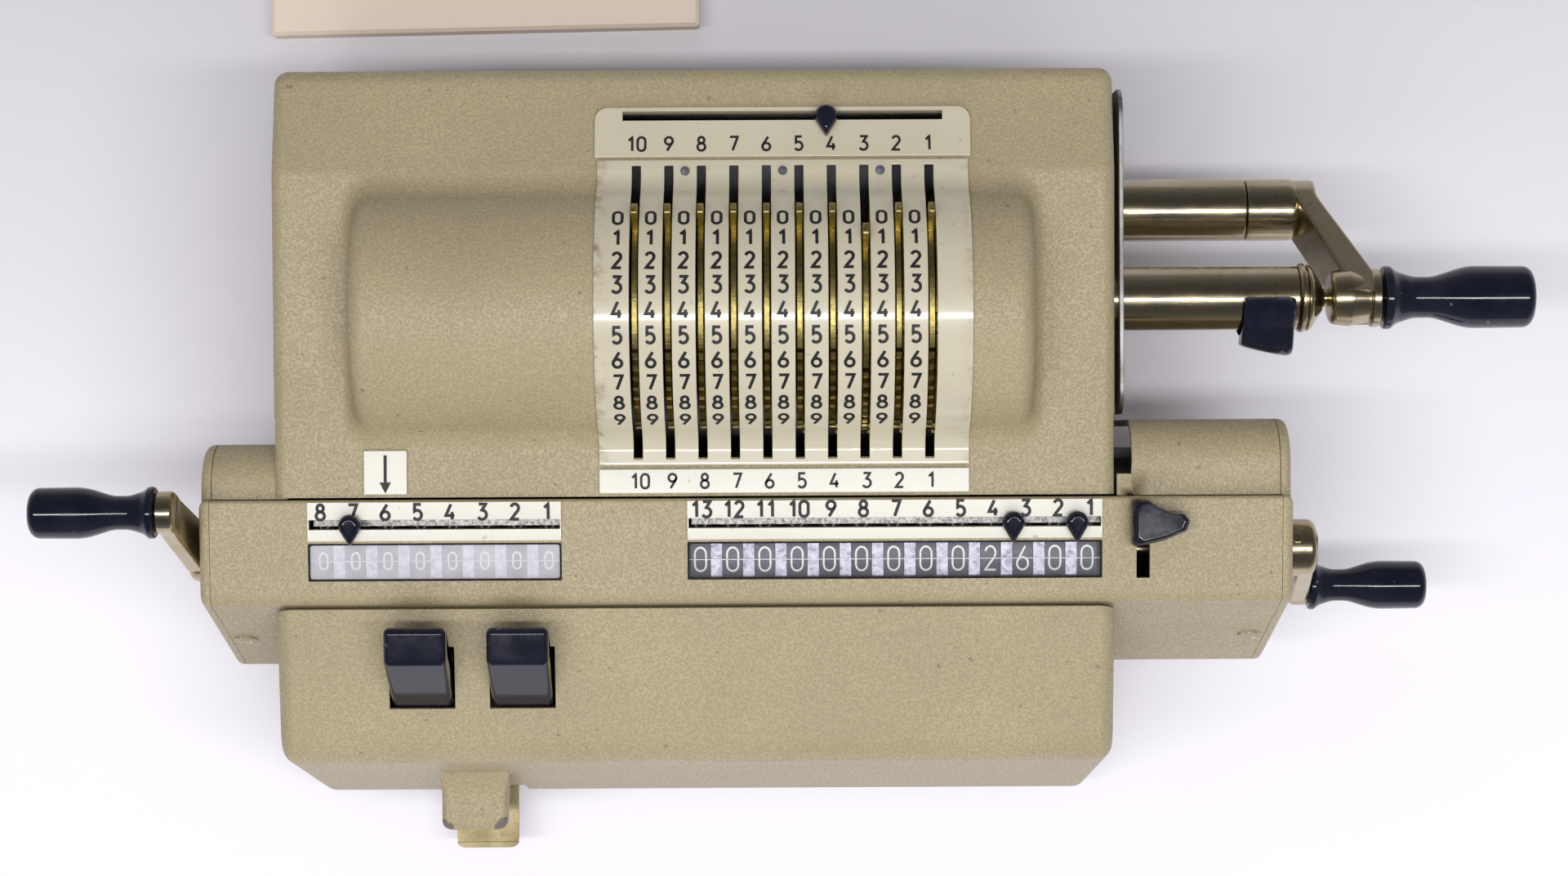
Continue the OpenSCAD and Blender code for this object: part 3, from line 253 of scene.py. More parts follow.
def placed(outline, axis, at):
    """A flat outline as points in space, with its place on the axis that it lacks."""
    return np.insert(np.asarray(outline, float), axis, at, axis=1)


def rectangle(x0, y0, x1, y1):
    return [[x0, y0], [x1, y0], [x1, y1], [x0, y1]]


def rounded(points, radii, closed=False, steps=6):
    """A path whose corners are arcs; a radius of nought keeps a corner sharp."""
    points = [np.asarray(p, float) for p in points]
    count = len(points)
    out = []
    for i, (corner, radius) in enumerate(zip(points, radii)):
        if radius <= 0 or (not closed and i in (0, count - 1)):
            out.append(corner)
            continue
        u = unit(points[i - 1] - corner)
        w = unit(points[(i + 1) % count] - corner)
        half = math.acos(np.clip(u @ w, -1, 1)) / 2
        centre = corner + unit(u + w) * radius / math.sin(half)
        first, last = (corner + side * radius / math.tan(half) - centre for side in (u, w))
        start = math.atan2(first[1], first[0])
        turn = (math.atan2(last[1], last[0]) - start + 3 * math.pi) % (2 * math.pi) - math.pi
        out += list(disc(centre, radius, start + turn * np.arange(steps + 1) / steps))
    return np.array(out)


def inset(points, distance):
    """A counter-clockwise outline moved inwards."""
    points = np.asarray(points, float)
    n = left_of(points - np.roll(points, 1, axis=0))
    m = left_of(np.roll(points, -1, axis=0) - points)
    return points + (n + m) * distance / (1 + (n * m).sum(1))[:, None]


def with_cuts(path, axis, values):
    """The path with a point wherever it passes one of the values on that axis."""
    out = [path[0]]
    for a, b in zip(path[:-1], path[1:]):
        low, high = sorted((a[axis], b[axis]))
        inside = sorted((v for v in values if low + 1e-4 < v < high - 1e-4), reverse=bool(a[axis] > b[axis]))
        out += [a + (b - a) * (v - a[axis]) / (b[axis] - a[axis]) for v in inside]
        out.append(b)
    return np.array(out)


def spread(*runs):
    """Stations from each value to the next, with the step that the run asks for."""
    out = []
    for (start, step), (end, _) in zip(runs[:-1], runs[1:]):
        count = max(1, math.ceil((end - start) / step - 1e-6))
        out += list(np.linspace(start, end, count, endpoint=False))
    return np.array(out + [runs[-1][0]])


def between(value, limits):
    return limits[0] < value < limits[1]


# Shapes as points and faces, in millimetres

def grid(points, hole=lambda x, y, z: False):
    """A sheet over points[i][j]; i runs to the right and j to the rear, and a hole's cells are left out."""
    points = np.asarray(points)
    across, along = points.shape[:2]
    middle = (points[:-1, :-1] + points[1:, :-1] + points[1:, 1:] + points[:-1, 1:]) / 4
    faces = []
    for i in range(across - 1):
        for j in range(along - 1):
            if not hole(*middle[i, j]):
                a = i * along + j
                faces.append((a, a + along, a + along + 1, a + 1))
    return points.reshape(-1, 3), faces


def swept(stations, path):
    """Points of a path in Y and Z at each station in X."""
    return np.array([placed(path, 0, x) for x in stations])


def loft(rows, ends=True, looped=False):
    """A solid through closed rows of points."""
    count = len(rows[0])
    faces = []
    for k in range(len(rows) if looped else len(rows) - 1):
        up = count if k + 1 < len(rows) else -k * count
        for i in range(count):
            a, b = k * count + i, k * count + (i + 1) % count
            faces.append((a, b, b + up, a + up))
    if ends and not looped:
        faces.append(tuple(range(count))[::-1])
        faces.append(tuple(range((len(rows) - 1) * count, len(rows) * count)))
    return np.concatenate(rows), faces


def turned(profile, axis, steps=72, looped=False):
    """A turned shape about an X axis; the profile's points are radius and X."""
    angles = full_turn(steps)
    return loft([placed(disc(axis, max(radius, 0.02), angles), 0, x) for radius, x in profile], looped=looped)


def lathe(points, radii, axis, steps=72, looped=False):
    """A turned shape whose profile has rounded corners."""
    return turned(rounded(points, radii, steps=5), axis, steps, looped)


def pin(radius, start, end, axis, steps):
    return turned([(0.1, start), (radius, start), (radius, end), (0.1, end)], axis, steps)


def notched_disc(radius, bore, start, end, ease, angles):
    """A disc on the drum's axis whose outer radius changes with the angle."""
    levels = [(bore, start), (radius - ease, start), (radius, start + ease), (radius, end - ease),
              (radius - ease, end), (bore, end)]
    return loft([placed(disc((DRUM_Y, DRUM_Z), r, angles), 0, x) for r, x in levels], looped=True)


def block(low, high):
    (x0, y0, z0), (x1, y1, z1) = low, high
    return loft([placed(rectangle(x0, y0, x1, y1), 2, z) for z in (z0, z1)])


def combine(*shapes):
    """Several shapes as one."""
    starts = np.cumsum([0] + [len(points) for points, _ in shapes])
    faces = [tuple(v + start for v in face) for start, (_, polys) in zip(starts, shapes) for face in polys]
    return np.concatenate([points for points, _ in shapes]), faces


def tilted(shape, rest, tilt=0.0):
    """A shape leaned about X and set down at its place."""
    (x, y, z), c, s = shape[0].T, math.cos(tilt), math.sin(tilt)
    return np.column_stack([rest[0] + x, rest[1] + y * c - z * s, rest[2] + y * s + z * c]), shape[1]


# Objects and their finish

def linked(name, mesh):
    obj = bpy.data.objects.new(name, mesh)
    bpy.context.scene.collection.objects.link(obj)
    return obj


def mesh_object(name, shape):
    verts, faces = shape
    mesh = bpy.data.meshes.new(name)
    mesh.from_pydata((np.asarray(verts, float) * MM).tolist(), [], [tuple(int(v) for v in f) for f in faces])
    return linked(name, mesh)


def worked(obj, *steps):
    """The object's mesh taken through steps on its bmesh."""
    work = bmesh.new()
    work.from_mesh(obj.data)
    for step in steps:
        step(work)
    work.to_mesh(obj.data)
    work.free()


def merge(distance):
    return lambda work: bmesh.ops.remove_doubles(work, verts=work.verts, dist=distance)


def drop_slivers(work):
    bmesh.ops.dissolve_degenerate(work, dist=1e-7, edges=work.edges)


def face_outwards(work):
    bmesh.ops.recalc_face_normals(work, faces=work.faces)


def join_flats(work):
    bmesh.ops.dissolve_limit(
        work, angle_limit=math.radians(1), verts=work.verts, edges=work.edges, delimit=set())


def applied(obj):
    """The object's modifiers, made part of its mesh."""
    bpy.context.view_layer.update()
    graph = bpy.context.evaluated_depsgraph_get()
    mesh = bpy.data.meshes.new_from_object(obj.evaluated_get(graph), depsgraph=graph)
    obj.modifiers.clear()
    old, obj.data = obj.data, mesh
    bpy.data.meshes.remove(old)


def modified(obj, name, kind, **settings):
    modifier = obj.modifiers.new(name, kind)
    for key, value in settings.items():
        setattr(modifier, key, value)
    return modifier


def read(items, key, width=1, kind=float):
    """One property of all items, as an array."""
    out = np.empty(len(items) * width, kind)
    items.foreach_get(key, out)
    return out


def put_attribute(obj, name, values):
    obj.data.attributes.new(name, "FLOAT", "POINT").data.foreach_set("value", values.astype(np.float32))


def mark_wear(obj):
    """The attribute wear: one where small faces turn round an edge, nought on flats."""
    mesh = obj.data
    count = len(mesh.vertices)
    corners = read(mesh.loops, "vertex_index", kind=int)
    face_of = np.repeat(np.arange(len(mesh.polygons)), read(mesh.polygons, "loop_total", kind=int))
    total = np.zeros((count, 3))
    np.add.at(total, corners, read(mesh.polygons, "normal", 3).reshape(-1, 3)[face_of])
    largest = np.zeros(count)
    np.maximum.at(largest, corners, read(mesh.polygons, "area")[face_of])
    bend = 1 - np.linalg.norm(total, axis=1) / np.maximum(np.bincount(corners, minlength=count), 1)
    put_attribute(obj, "wear", np.clip(bend * 14, 0, 1) * np.clip(1.6 - largest * 1e6 / 6, 0, 1))


def finish(obj, material, body, nodes=(), slot=None, closed=True, wall=0.0, bevel=0.0, segments=3,
           angle=35.0, smooth=35.0):
    """Gives a shape its wall, rounded edges and material, and joins it to its body."""
    cleaning = [merge(2e-6), drop_slivers]
    worked(obj, *cleaning, *([face_outwards] if closed and not wall else []))
    if wall:
        modified(obj, "Wall", "SOLIDIFY", thickness=wall * MM, offset=-1, use_even_offset=True)
    if bevel:
        modified(obj, "Edge", "BEVEL", width=bevel * MM, segments=segments, limit_method="ANGLE",
                 angle_limit=math.radians(angle), miter_outer="MITER_ARC")
    if wall or bevel:
        applied(obj)
    obj.data.shade_smooth()
    obj.data.set_sharp_from_angle(angle=math.radians(smooth))
    mark_wear(obj)
    modified(obj, "Flat faces", "WEIGHTED_NORMAL", keep_sharp=True)
    applied(obj)
    obj.data.materials.clear()
    obj.data.materials.append(finishes(material))
    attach(obj, body)
    if nodes:
        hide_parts(*nodes)
    slot = slot or SLOTS.get(material)
    return obj


def piece(name, shape, material, body, nodes=(), row=None, **edges):
    """A finished piece; a row is a count of copies and the step between them."""
    obj = mesh_object(name, shape)
    if row:
        in_row(obj, *row, finishes(material))
    return finish(obj, material, body, nodes, **edges)


def sheet(name, shape, material, body, nodes=(), wall=SHEET, **edges):
    """A finished piece of sheet, from the surface that shows."""
    return piece(name, shape, material, body, nodes, wall=wall, **edges)


def copied(node, name):
    """A copy of a node's mesh with its flat triangles joined."""
    obj = linked(name, frame["nodes"][node].data.copy())
    worked(obj, merge(4e-6), join_flats)
    custom = obj.data.attributes.get("custom_normal")
    if custom:
        obj.data.attributes.remove(custom)
    return obj


def eased(node, material, bevel, segments=2):
    """A node's own shape with its edges broken, as a turned or pressed piece has them."""
    return finish(copied(node, node + "_eased"), material, body_of(node), [node], closed=False, bevel=bevel,
                  segments=segments, angle=40.0)


# Nodes of trees, for shapes and materials

def feed(node, inputs):
    """A node's inputs, set to values or linked to sockets."""
    for key, value in inputs.items():
        socket = node.inputs[key]
        if isinstance(value, bpy.types.NodeSocket):
            node.id_data.links.new(value, socket)
        else:
            socket.default_value = (*value[:3], 1.0) if socket.type == "RGBA" else value
    return node


def add(tree, kind, inputs=None, **settings):
    """A node with its settings and inputs."""
    node = tree.nodes.new(kind)
    for key, value in settings.items():
        setattr(node, key, value)
    return feed(node, inputs or {})


def new_tree(name, kind, inputs, outputs):
    """A node group with its sockets, and its input and output nodes."""
    tree = bpy.data.node_groups.new(name, kind)
    for way, sockets in (("INPUT", inputs), ("OUTPUT", outputs)):
        for label, value in sockets.items():
            tree.interface.new_socket(label, in_out=way, socket_type="NodeSocket" + value)
    return tree, add(tree, "NodeGroupInput").outputs, add(tree, "NodeGroupOutput")


def row_tree():
    """Copies of a shape in a straight row."""
    inputs = {"Piece": "Geometry", "Count": "Int", "Step": "Vector", "Material": "Material"}
    tree, given, made = new_tree("Row of pieces", "GeometryNodeTree", inputs, {"Geometry": "Geometry"})
    line = add(
        tree, "GeometryNodeMeshLine", {"Count": given["Count"], "Offset": given["Step"]}, mode="OFFSET")
    copies = add(
        tree, "GeometryNodeInstanceOnPoints", {"Points": line.outputs["Mesh"], "Instance": given["Piece"]})
    real = add(tree, "GeometryNodeRealizeInstances", {"Geometry": copies.outputs["Instances"]})
    painted = add(tree, "GeometryNodeSetMaterial", {"Geometry": real.outputs["Geometry"],
                                                    "Material": given["Material"]})
    feed(made, {"Geometry": painted.outputs["Geometry"]})
    return tree


def in_row(obj, count, step, material):
    """The object's shape repeated to the right, with a step in millimetres."""
    tree = bpy.data.node_groups.get("Row of pieces") or row_tree()
    modifier = modified(obj, "Row", "NODES", node_group=tree)
    ids = {item.name: item.identifier for item in tree.interface.items_tree if item.in_out == "INPUT"}
    modifier[ids["Count"]] = count
    modifier[ids["Step"]] = [step * MM, 0.0, 0.0]
    modifier[ids["Material"]] = material
    applied(obj)


def maths(operation, a, b, clamp=False):
    return add(a.id_data, "ShaderNodeMath", {0: a, 1: b}, operation=operation, use_clamp=clamp).outputs[0]


def noise(where, scale, detail, roughness=0.5, distortion=0.0):
    inputs = {"Vector": where, "Scale": scale, "Detail": detail, "Roughness": roughness,
              "Distortion": distortion}
    return add(where.id_data, "ShaderNodeTexNoise", inputs).outputs["Fac"]


def mixed(factor, a, b):
    """Two colours mixed by a factor."""
    return add(factor.id_data, "ShaderNodeMix", {0: factor, 6: a, 7: b}, data_type="RGBA").outputs[2]


def scaled(value, low, high, to_low=0.0, to_high=1.0):
    """A value brought from one range to another and held there."""
    inputs = {"Value": value, "From Min": low, "From Max": high, "To Min": to_low, "To Max": to_high}
    return add(value.id_data, "ShaderNodeMapRange", inputs).outputs["Result"]


def marked(where, name):
    """A piece's own attribute."""
    return add(where.id_data, "ShaderNodeAttribute", attribute_name=name).outputs["Fac"]


def bumped(height, strength, distance):
    """A normal raised by a height; the distance is in millimetres."""
    inputs = {"Strength": strength, "Distance": distance * MM, "Height": height}
    return add(height.id_data, "ShaderNodeBump", inputs).outputs["Normal"]


def tinted(tone, factor, more=0.0):
    return [min(1, v * factor + more) for v in tone]


# Effects that several materials share

def hammer_group(name):
    """The pebbled grain of stove-dried paint: a height, and a mask of its hollows."""
    tree, given, made = new_tree(name, "ShaderNodeTree", {"Vector": "Vector", "Scale": "Float"},
                                 {"Height": "Float", "Hollows": "Float"})
    cells = add(tree, "ShaderNodeTexVoronoi", {"Vector": given["Vector"], "Scale": given["Scale"],
                "Smoothness": 0.9}, feature="SMOOTH_F1")
    finer = noise(given["Vector"], maths("MULTIPLY", given["Scale"], 1.7), 3.0)
    both = maths("ADD", scaled(cells.outputs["Distance"], 0.15, 0.75), finer)
    height = maths("MULTIPLY", both, 0.5)
    feed(made, {"Height": height, "Hollows": scaled(height, 0.38, 0.62, 1.0, 0.0)})


def wear_group(name):
    """Edges rubbed to another colour, broken up by noise."""
    _, given, made = new_tree(
        name, "ShaderNodeTree", {"Color": "Color", "Worn": "Color", "Vector": "Vector", "Amount": "Float"},
        {"Color": "Color", "Mask": "Float"})
    spots = scaled(noise(given["Vector"], 900.0, 5.0), 0.40, 0.62)
    worn = maths("MULTIPLY", marked(given["Vector"], "wear"), spots)
    mask = maths("MULTIPLY", worn, given["Amount"], clamp=True)
    feed(made, {"Color": mixed(mask, given["Color"], given["Worn"]), "Mask": mask})


def chip_group(name):
    """Paint knocked off round one place."""
    tree, given, made = new_tree(
        name, "ShaderNodeTree",
        {"Color": "Color", "Chip": "Color", "Vector": "Vector", "Place": "Vector", "Radius": "Float"},
        {"Color": "Color"})
    away = add(tree, "ShaderNodeVectorMath", {0: given["Vector"], 1: given["Place"]}, operation="DISTANCE")
    share = maths("DIVIDE", away.outputs["Value"], given["Radius"])
    edge = maths("ADD", share, noise(given["Vector"], 650.0, 3.0))
    feed(made, {"Color": mixed(scaled(edge, 1.42, 1.5, 1.0, 0.0), given["Color"], given["Chip"])})


def grime_group(name):
    """Uneven dirt: wide clouds, and small specks."""
    _, given, made = new_tree(
        name, "ShaderNodeTree",
        {"Color": "Color", "Dirt": "Color", "Vector": "Vector", "Clouds": "Float", "Specks": "Float"},
        {"Color": "Color", "Mask": "Float"})
    cloud = maths("MULTIPLY", scaled(noise(given["Vector"], 38.0, 6.0, 0.65), 0.45, 0.8), given["Clouds"])
    speck = maths("MULTIPLY", scaled(noise(given["Vector"], 420.0, 2.0), 0.715, 0.76), given["Specks"])
    mask = maths("ADD", cloud, speck, clamp=True)
    feed(made, {"Color": mixed(mask, given["Color"], given["Dirt"]), "Mask": mask})


SHARED = {
    "Hammer grain": hammer_group, "Edge wear": wear_group, "Paint chip": chip_group, "Grime": grime_group}


def use(where, name, **inputs):
    """The outputs of a shared effect, which is built when it is first used."""
    if name not in bpy.data.node_groups:
        SHARED[name](name)
    node = add(where.id_data, "ShaderNodeGroup", node_tree=bpy.data.node_groups[name])
    return feed(node, {"Vector": where, **inputs}).outputs


# Materials

def new_material(name, **constants):
    """A material, its Principled shader with its constants, and the object's coordinates."""
    material = bpy.data.materials.new(name + "_finish")
    material.use_nodes = True
    tree = material.node_tree
    tree.nodes.clear()
    given = {key.replace("_", " ").title().replace("Ior", "IOR"): value for key, value in constants.items()}
    shader = add(tree, "ShaderNodeBsdfPrincipled", given)
    add(tree, "ShaderNodeOutputMaterial", {"Surface": shader.outputs["BSDF"]})
    return material, shader, add(tree, "ShaderNodeTexCoord").outputs["Object"]


def hammered_paint(name):
    """Beige paint with a pebbled grain, rubbed edges, a little dirt, and chips at the thumb tab's corners."""
    c = colours()
    material, shader, where = new_material(name, specular_ior_level=0.45)
    grain = use(where, "Hammer grain", Scale=1 / (size("paint_grain") * MM))
    tone = mixed(scaled(noise(where, 24.0, 4.0), 0.3, 0.7), tinted(c.paint, 0.94), tinted(c.paint, 1.05))
    # The grain's hollows are painted darker: partly the paint's own tone, partly painted shade in the dimples
    tone = mixed(scaled(grain["Hollows"], 0, 1, 0, 0.55), tone, tinted(c.paint, 0.66))
    tone = use(where, "Grime", Color=tone, Dirt=c.dirt, Clouds=0.06, Specks=0.5)["Color"]
    tone = use(where, "Edge wear", Color=tone, Worn=tinted(c.paint, 0.5), Amount=0.35)["Color"]
    for side, radius in ((-1, 2.3), (1, 2.6)):
        corner = np.array([RELEASE_X + side * 7.6, APRON_LOW[1] + 1.2, 42.5]) * MM
        tone = use(where, "Paint chip", Color=tone, Chip=srgb(108, 100, 90), Place=corner,
                   Radius=radius * MM)["Color"]
    feed(shader, {"Base Color": tone, "Roughness": scaled(grain["Hollows"], 0, 1, 0.36, 0.55),
                  "Normal": bumped(grain["Height"], 0.55, 0.22)})
    return material


def enamel(name, tone):
    """Smooth enamel with handling dirt towards its edges."""
    dirt = colours().dirt
    material, shader, where = new_material(name, roughness=0.3, coat_weight=0.8, coat_roughness=0.1)
    tone = use(where, "Grime", Color=tone, Dirt=dirt, Clouds=0.10, Specks=0.35)["Color"]
    spots = scaled(noise(where, 260.0, 6.0, 0.7), 0.46, 0.7)
    patch = maths("MULTIPLY", marked(where, "grime"), spots, clamp=True)
    tone = mixed(patch, tone, tinted(dirt, 1.3))
    tone = use(where, "Edge wear", Color=tone, Worn=srgb(196, 188, 160), Amount=0.6)["Color"]
    feed(shader, {"Base Color": tone, "Normal": bumped(noise(where, 160.0, 2.0), 0.10, 0.15)})
    return material


def worn_metal(name, base, under, tint, sheen, wear=0.8, scratch=0.25):
    """Plated or bare metal: patches of the metal below, brushed lines and rubbed edges."""
    material, shader, where = new_material(name, metallic=1.0)
    patch = noise(where, 70.0, 8.0, 0.7)
    stretch = add(where.id_data, "ShaderNodeMapping", {"Vector": where, "Scale": (60.0, 2600.0, 2600.0)})
    lines = noise(stretch.outputs["Vector"], 1.0, 3.0)
    tone = mixed(scaled(patch, 0.42, 0.72, 0, tint), base, under)
    tone = mixed(scaled(noise(where, 900.0, 3.0), 0.60, 0.74, 0, 0.5), tone, tinted(under, 0.35))
    tone = use(where, "Edge wear", Color=tone, Worn=tinted(under, 1.25), Amount=wear)["Color"]
    feed(shader, {"Base Color": tone, "Roughness": scaled(patch, 0.3, 0.75, *sheen),
                  "Normal": bumped(lines, scratch, 0.05)})
    return material


def speckled(name, low, high, scale, detail, limits, grain=(0.5, 0.0), bump=None, sheen=None, **constants):
    """Two tones mixed by one fine grain, which may raise and roughen the surface too."""
    material, shader, where = new_material(name, **constants)
    speck = noise(where, scale, detail, *grain)
    feed(shader, {"Base Color": mixed(scaled(speck, *limits), low, high)})
    if sheen:
        feed(shader, {"Roughness": scaled(speck, 0.3, 0.7, *sheen)})
    if bump:
        feed(shader, {"Normal": bumped(speck, *bump)})
    return material


def navy_plastic(name):
    """Glossy dark blue plastic with fine rubbed patches."""
    tone = colours().plastic
    material, shader, where = new_material(
        name, coat_weight=0.2, coat_roughness=0.05, specular_ior_level=0.35)
    rub = noise(where, 120.0, 7.0, 0.7)
    tone = mixed(scaled(rub, 0.4, 0.75), tone, tinted(tone, 1.5, 0.002))
    dusty = use(where, "Grime", Color=tone, Dirt=srgb(150, 150, 160), Clouds=0.02, Specks=0.25)
    feed(shader, {"Base Color": dusty["Color"], "Roughness": scaled(rub, 0.35, 0.75, 0.08, 0.16),
                  "Normal": bumped(rub, 0.12, 0.08)})
    return material


def painted_screw(name):
    """Screw heads nearly in the paint's colour, rubbed bright at the rim."""
    material, shader, where = new_material(name, metallic=0.35)
    worn = use(where, "Edge wear", Color=tinted(colours().paint, 0.85), Worn=srgb(205, 198, 180), Amount=1.0)
    grain = noise(where, 700.0, 3.0)
    feed(shader, {"Base Color": worn["Color"], "Roughness": scaled(grain, 0.3, 0.7, 0.3, 0.5),
                  "Normal": bumped(grain, 0.3, 0.08)})
    return material


def dial_plastic(name):
    """Dark grey dials, slightly dusty."""
    material, shader, where = new_material(name, roughness=0.42)
    dusty = use(where, "Grime", Color=colours().dial, Dirt=srgb(140, 138, 150), Clouds=0.35, Specks=0.6)
    feed(shader, {"Base Color": dusty["Color"], "Normal": bumped(dusty["Mask"], 0.3, 0.05)})
    return material


def window_glass(name, veil, tone):
    """A thin window whose whitish veil is a painted reflection of the lamps, made uneven by noise."""
    material, shader, where = new_material(name, roughness=0.08)
    painted_reflection = scaled(noise(where, 95.0, 5.0), 0.35, 0.7, veil * 0.8, veil * 1.2)
    feed(shader, {"Base Color": tone, "Alpha": painted_reflection})
    return material


def ink(name, tone):
    """Print with slightly uneven cover."""
    return speckled(name, tone, tinted(tone, 0.85, 0.015), 1500.0, 3.0, (0.4, 0.75), roughness=0.5)


def finishes(name):
    """A material by its name, built once."""
    found = bpy.data.materials.get(name + "_finish")
    if found:
        return found
    c = colours()
    recipes = {
        "hammered_paint": (hammered_paint, {}),
        "navy_plastic": (navy_plastic, {}),
        "painted_screw": (painted_screw, {}),
        "dial_plastic": (dial_plastic, {}),
        "ivory_enamel": (enamel, dict(tone=c.enamel)),
        "white_enamel": (enamel, dict(tone=srgb(212, 209, 198))),
        "black_print": (ink, dict(tone=c.black_print)),
        "white_print": (ink, dict(tone=c.white_print)),
        # The windows' veil is a painted reflection: strong over the counter, faint over the result
        "result_glass": (window_glass, dict(veil=0.05, tone=srgb(225, 222, 240))),
        "counter_glass": (window_glass, dict(veil=0.3, tone=srgb(250, 247, 255))),
        "nickel_plate": (worn_metal, dict(
            base=c.nickel, under=tinted(c.brass, 0.62), tint=0.6, sheen=(0.14, 0.3))),
        "brass_sheet": (worn_metal, dict(
            base=c.brass, under=tinted(c.brass, 0.5), tint=0.8, sheen=(0.28, 0.46), wear=1.0, scratch=1.0)),
        "dull_steel": (worn_metal, dict(
            base=c.steel, under=tinted(c.steel, 0.6), tint=0.8, sheen=(0.35, 0.55), wear=0.5, scratch=0.4)),
        "side_plate": (worn_metal, dict(
            base=srgb(176, 174, 172), under=srgb(120, 116, 112), tint=0.6, sheen=(0.4, 0.6), wear=0.4,
            scratch=0.4)),
        "release_metal": (worn_metal, dict(
            base=srgb(146, 134, 102), under=srgb(108, 94, 66), tint=0.6, sheen=(0.34, 0.55), wear=1.0)),
        "stud_steel": (speckled, dict(
            low=srgb(70, 68, 80), high=srgb(104, 102, 114), scale=900.0, detail=3.0, limits=(0.4, 0.7),
            bump=(0.3, 0.08), metallic=0.3, roughness=0.45)),
        "foot_rubber": (speckled, dict(
            low=c.rubber, high=tinted(c.rubber, 1, 0.03), scale=400.0, detail=5.0, limits=(0.4, 0.8),
            bump=(0.4, 0.15), roughness=0.8)),
        "spacer_metal": (speckled, dict(
            low=srgb(138, 134, 153), high=srgb(222, 220, 234), scale=520.0, detail=4.0, limits=(0.35, 0.7),
            grain=(0.5, 0.6), bump=(0.8, 0.25), sheen=(0.25, 0.5), metallic=0.3)),
        "guide_metal": (speckled, dict(
            low=srgb(104, 100, 98), high=srgb(205, 203, 200), scale=1100.0, detail=4.0, limits=(0.4, 0.62),
            grain=(0.7, 0.0), bump=(0.5, 0.1), sheen=(0.3, 0.5), metallic=0.4)),
    }
    make, given = recipes[name]
    return make(name, **given)


SLOTS = {
    "hammered_paint": "beige_paint", "ivory_enamel": "ivory_enamel", "white_enamel": "ivory_enamel",
    "nickel_plate": "nickel_plate", "painted_screw": "nickel_plate", "release_metal": "nickel_plate",
    "brass_sheet": "brass", "dull_steel": "frame_steel", "side_plate": "frame_steel",
    "guide_metal": "frame_steel", "spacer_metal": "frame_steel", "stud_steel": "stud_steel",
    "navy_plastic": "navy_plastic",
    "dial_plastic": "dial_plastic", "white_print": "dial_plastic", "foot_rubber": "rubber",
    "result_glass": "window_glass", "counter_glass": "window_glass",
}


# Numbers drawn with one stroke width, as an engraver's stencil has them

def arc(cx, cy, rx, ry, start, end, steps=9):
    angles = np.radians(np.linspace(start, end, steps))
    return [(cx + rx * math.cos(a), cy + ry * math.sin(a)) for a in angles]


DIGIT_W = 0.54
SIX = [
    (arc(.27, .27, .27, .27, 0, 345, 16), True),
    ([(.40, 1.0), (.25, .76), (.11, .53), (.02, .37), (.0, .27)], False),
]
# Each stroke of a digit one unit high is its points and whether it closes
STROKES = {
    "0": [(arc(.27, .73, .27, .27, 0, 180) + arc(.27, .27, .27, .27, 180, 360), True)],
    "1": [([(.08, .74), (.33, 1.0), (.33, 0)], False)],
    "2": [(arc(.27, .73, .25, .27, 165, -38) + [(.02, 0), (.54, 0)], False)],
    "3": [([(.03, 1.0), (.50, 1.0), (.24, .61)] + arc(.25, .30, .29, .30, 78, -150, 11), False)],
    "4": [([(.34, 1.0), (.0, .26), (.56, .26)], False), ([(.41, .5), (.41, 0)], False)],
    "5": [([(.49, 1.0), (.09, 1.0), (.06, .53)] + arc(.25, .31, .28, .31, 118, -148), False)],
    "6": SIX,
    "7": [([(.0, 1.0), (.54, 1.0), (.19, 0)], False)],
    "8": [(arc(.27, .77, .21, .23, 0, 340, 14), True), (arc(.27, .27, .27, .27, 0, 345, 16), True)],
    "9": [([(DIGIT_W - x, 1 - y) for x, y in points], closed) for points, closed in SIX],
}


def ribbon(points, width, closed):
    """A flat band along a stroke, one unit thick."""
    points = [p for k, p in enumerate(points) if k == 0 or math.dist(p, points[k - 1]) > 1e-3]
    fine = []
    for a, b in zip(points, points[1:] + points[:closed]):
        fine += list(np.linspace(a, b, max(1, math.ceil(math.dist(a, b) / 0.16)), endpoint=False))
    p = np.array(fine if closed else fine + [points[-1]])
    ahead = np.roll(p, -1, axis=0) - p
    behind = np.roll(ahead, 1, axis=0)
    if not closed:
        ahead[-1] = behind[-1]
        behind[0] = ahead[0]
    along = unit(unit(ahead) + unit(behind))
    reach = 1 / np.clip((along * unit(ahead)).sum(1), 0.6, 1)
    side = left_of(along) * (reach * width / 2)[:, None]
    rows = [np.array([[*a, 0], [*b, 0], [*b, 1], [*a, 1]]) for a, b in zip(p + side, p - side)]
    return loft(rows, ends=not closed, looped=closed)


def lettering(number, height, weight, narrow=1.0):
    """Digits in millimetres, centred, with a height of nought to one off the surface."""
    text = str(number)
    advance = DIGIT_W + 0.17
    middle = (advance * (len(text) - 1) + DIGIT_W) / 2
    shapes = []
    for k, digit in enumerate(text):
        for points, closed in STROKES[digit]:
            verts, faces = ribbon(points, weight / height, closed)
            verts = (verts + [k * advance - middle, -0.5, 0]) * [height * narrow, height, 1]
            shapes.append((verts, faces))
    return combine(*shapes)


def on_drum(shape, x, angle, radius, axis, sink=SINK):
    """Lettering wrapped on a drum; the angle runs from the top to the front."""
    verts, faces = shape
    turn = math.radians(angle) - verts[:, 1] / radius
    r = radius - sink + verts[:, 2] * (size("print_height") + sink)
    return np.column_stack([x + verts[:, 0], axis[0] - r * np.sin(turn), axis[1] + r * np.cos(turn)]), faces


def on_plane(shape, x, y, z, slope=0.0):
    """Lettering on a surface that rises to the rear by the slope."""
    verts, faces = shape
    raised = verts * [1, 1, size("print_height") + SINK] - [0, 0, SINK]
    return tilted((raised, faces), (x, y, z), math.atan(slope))


# Casing

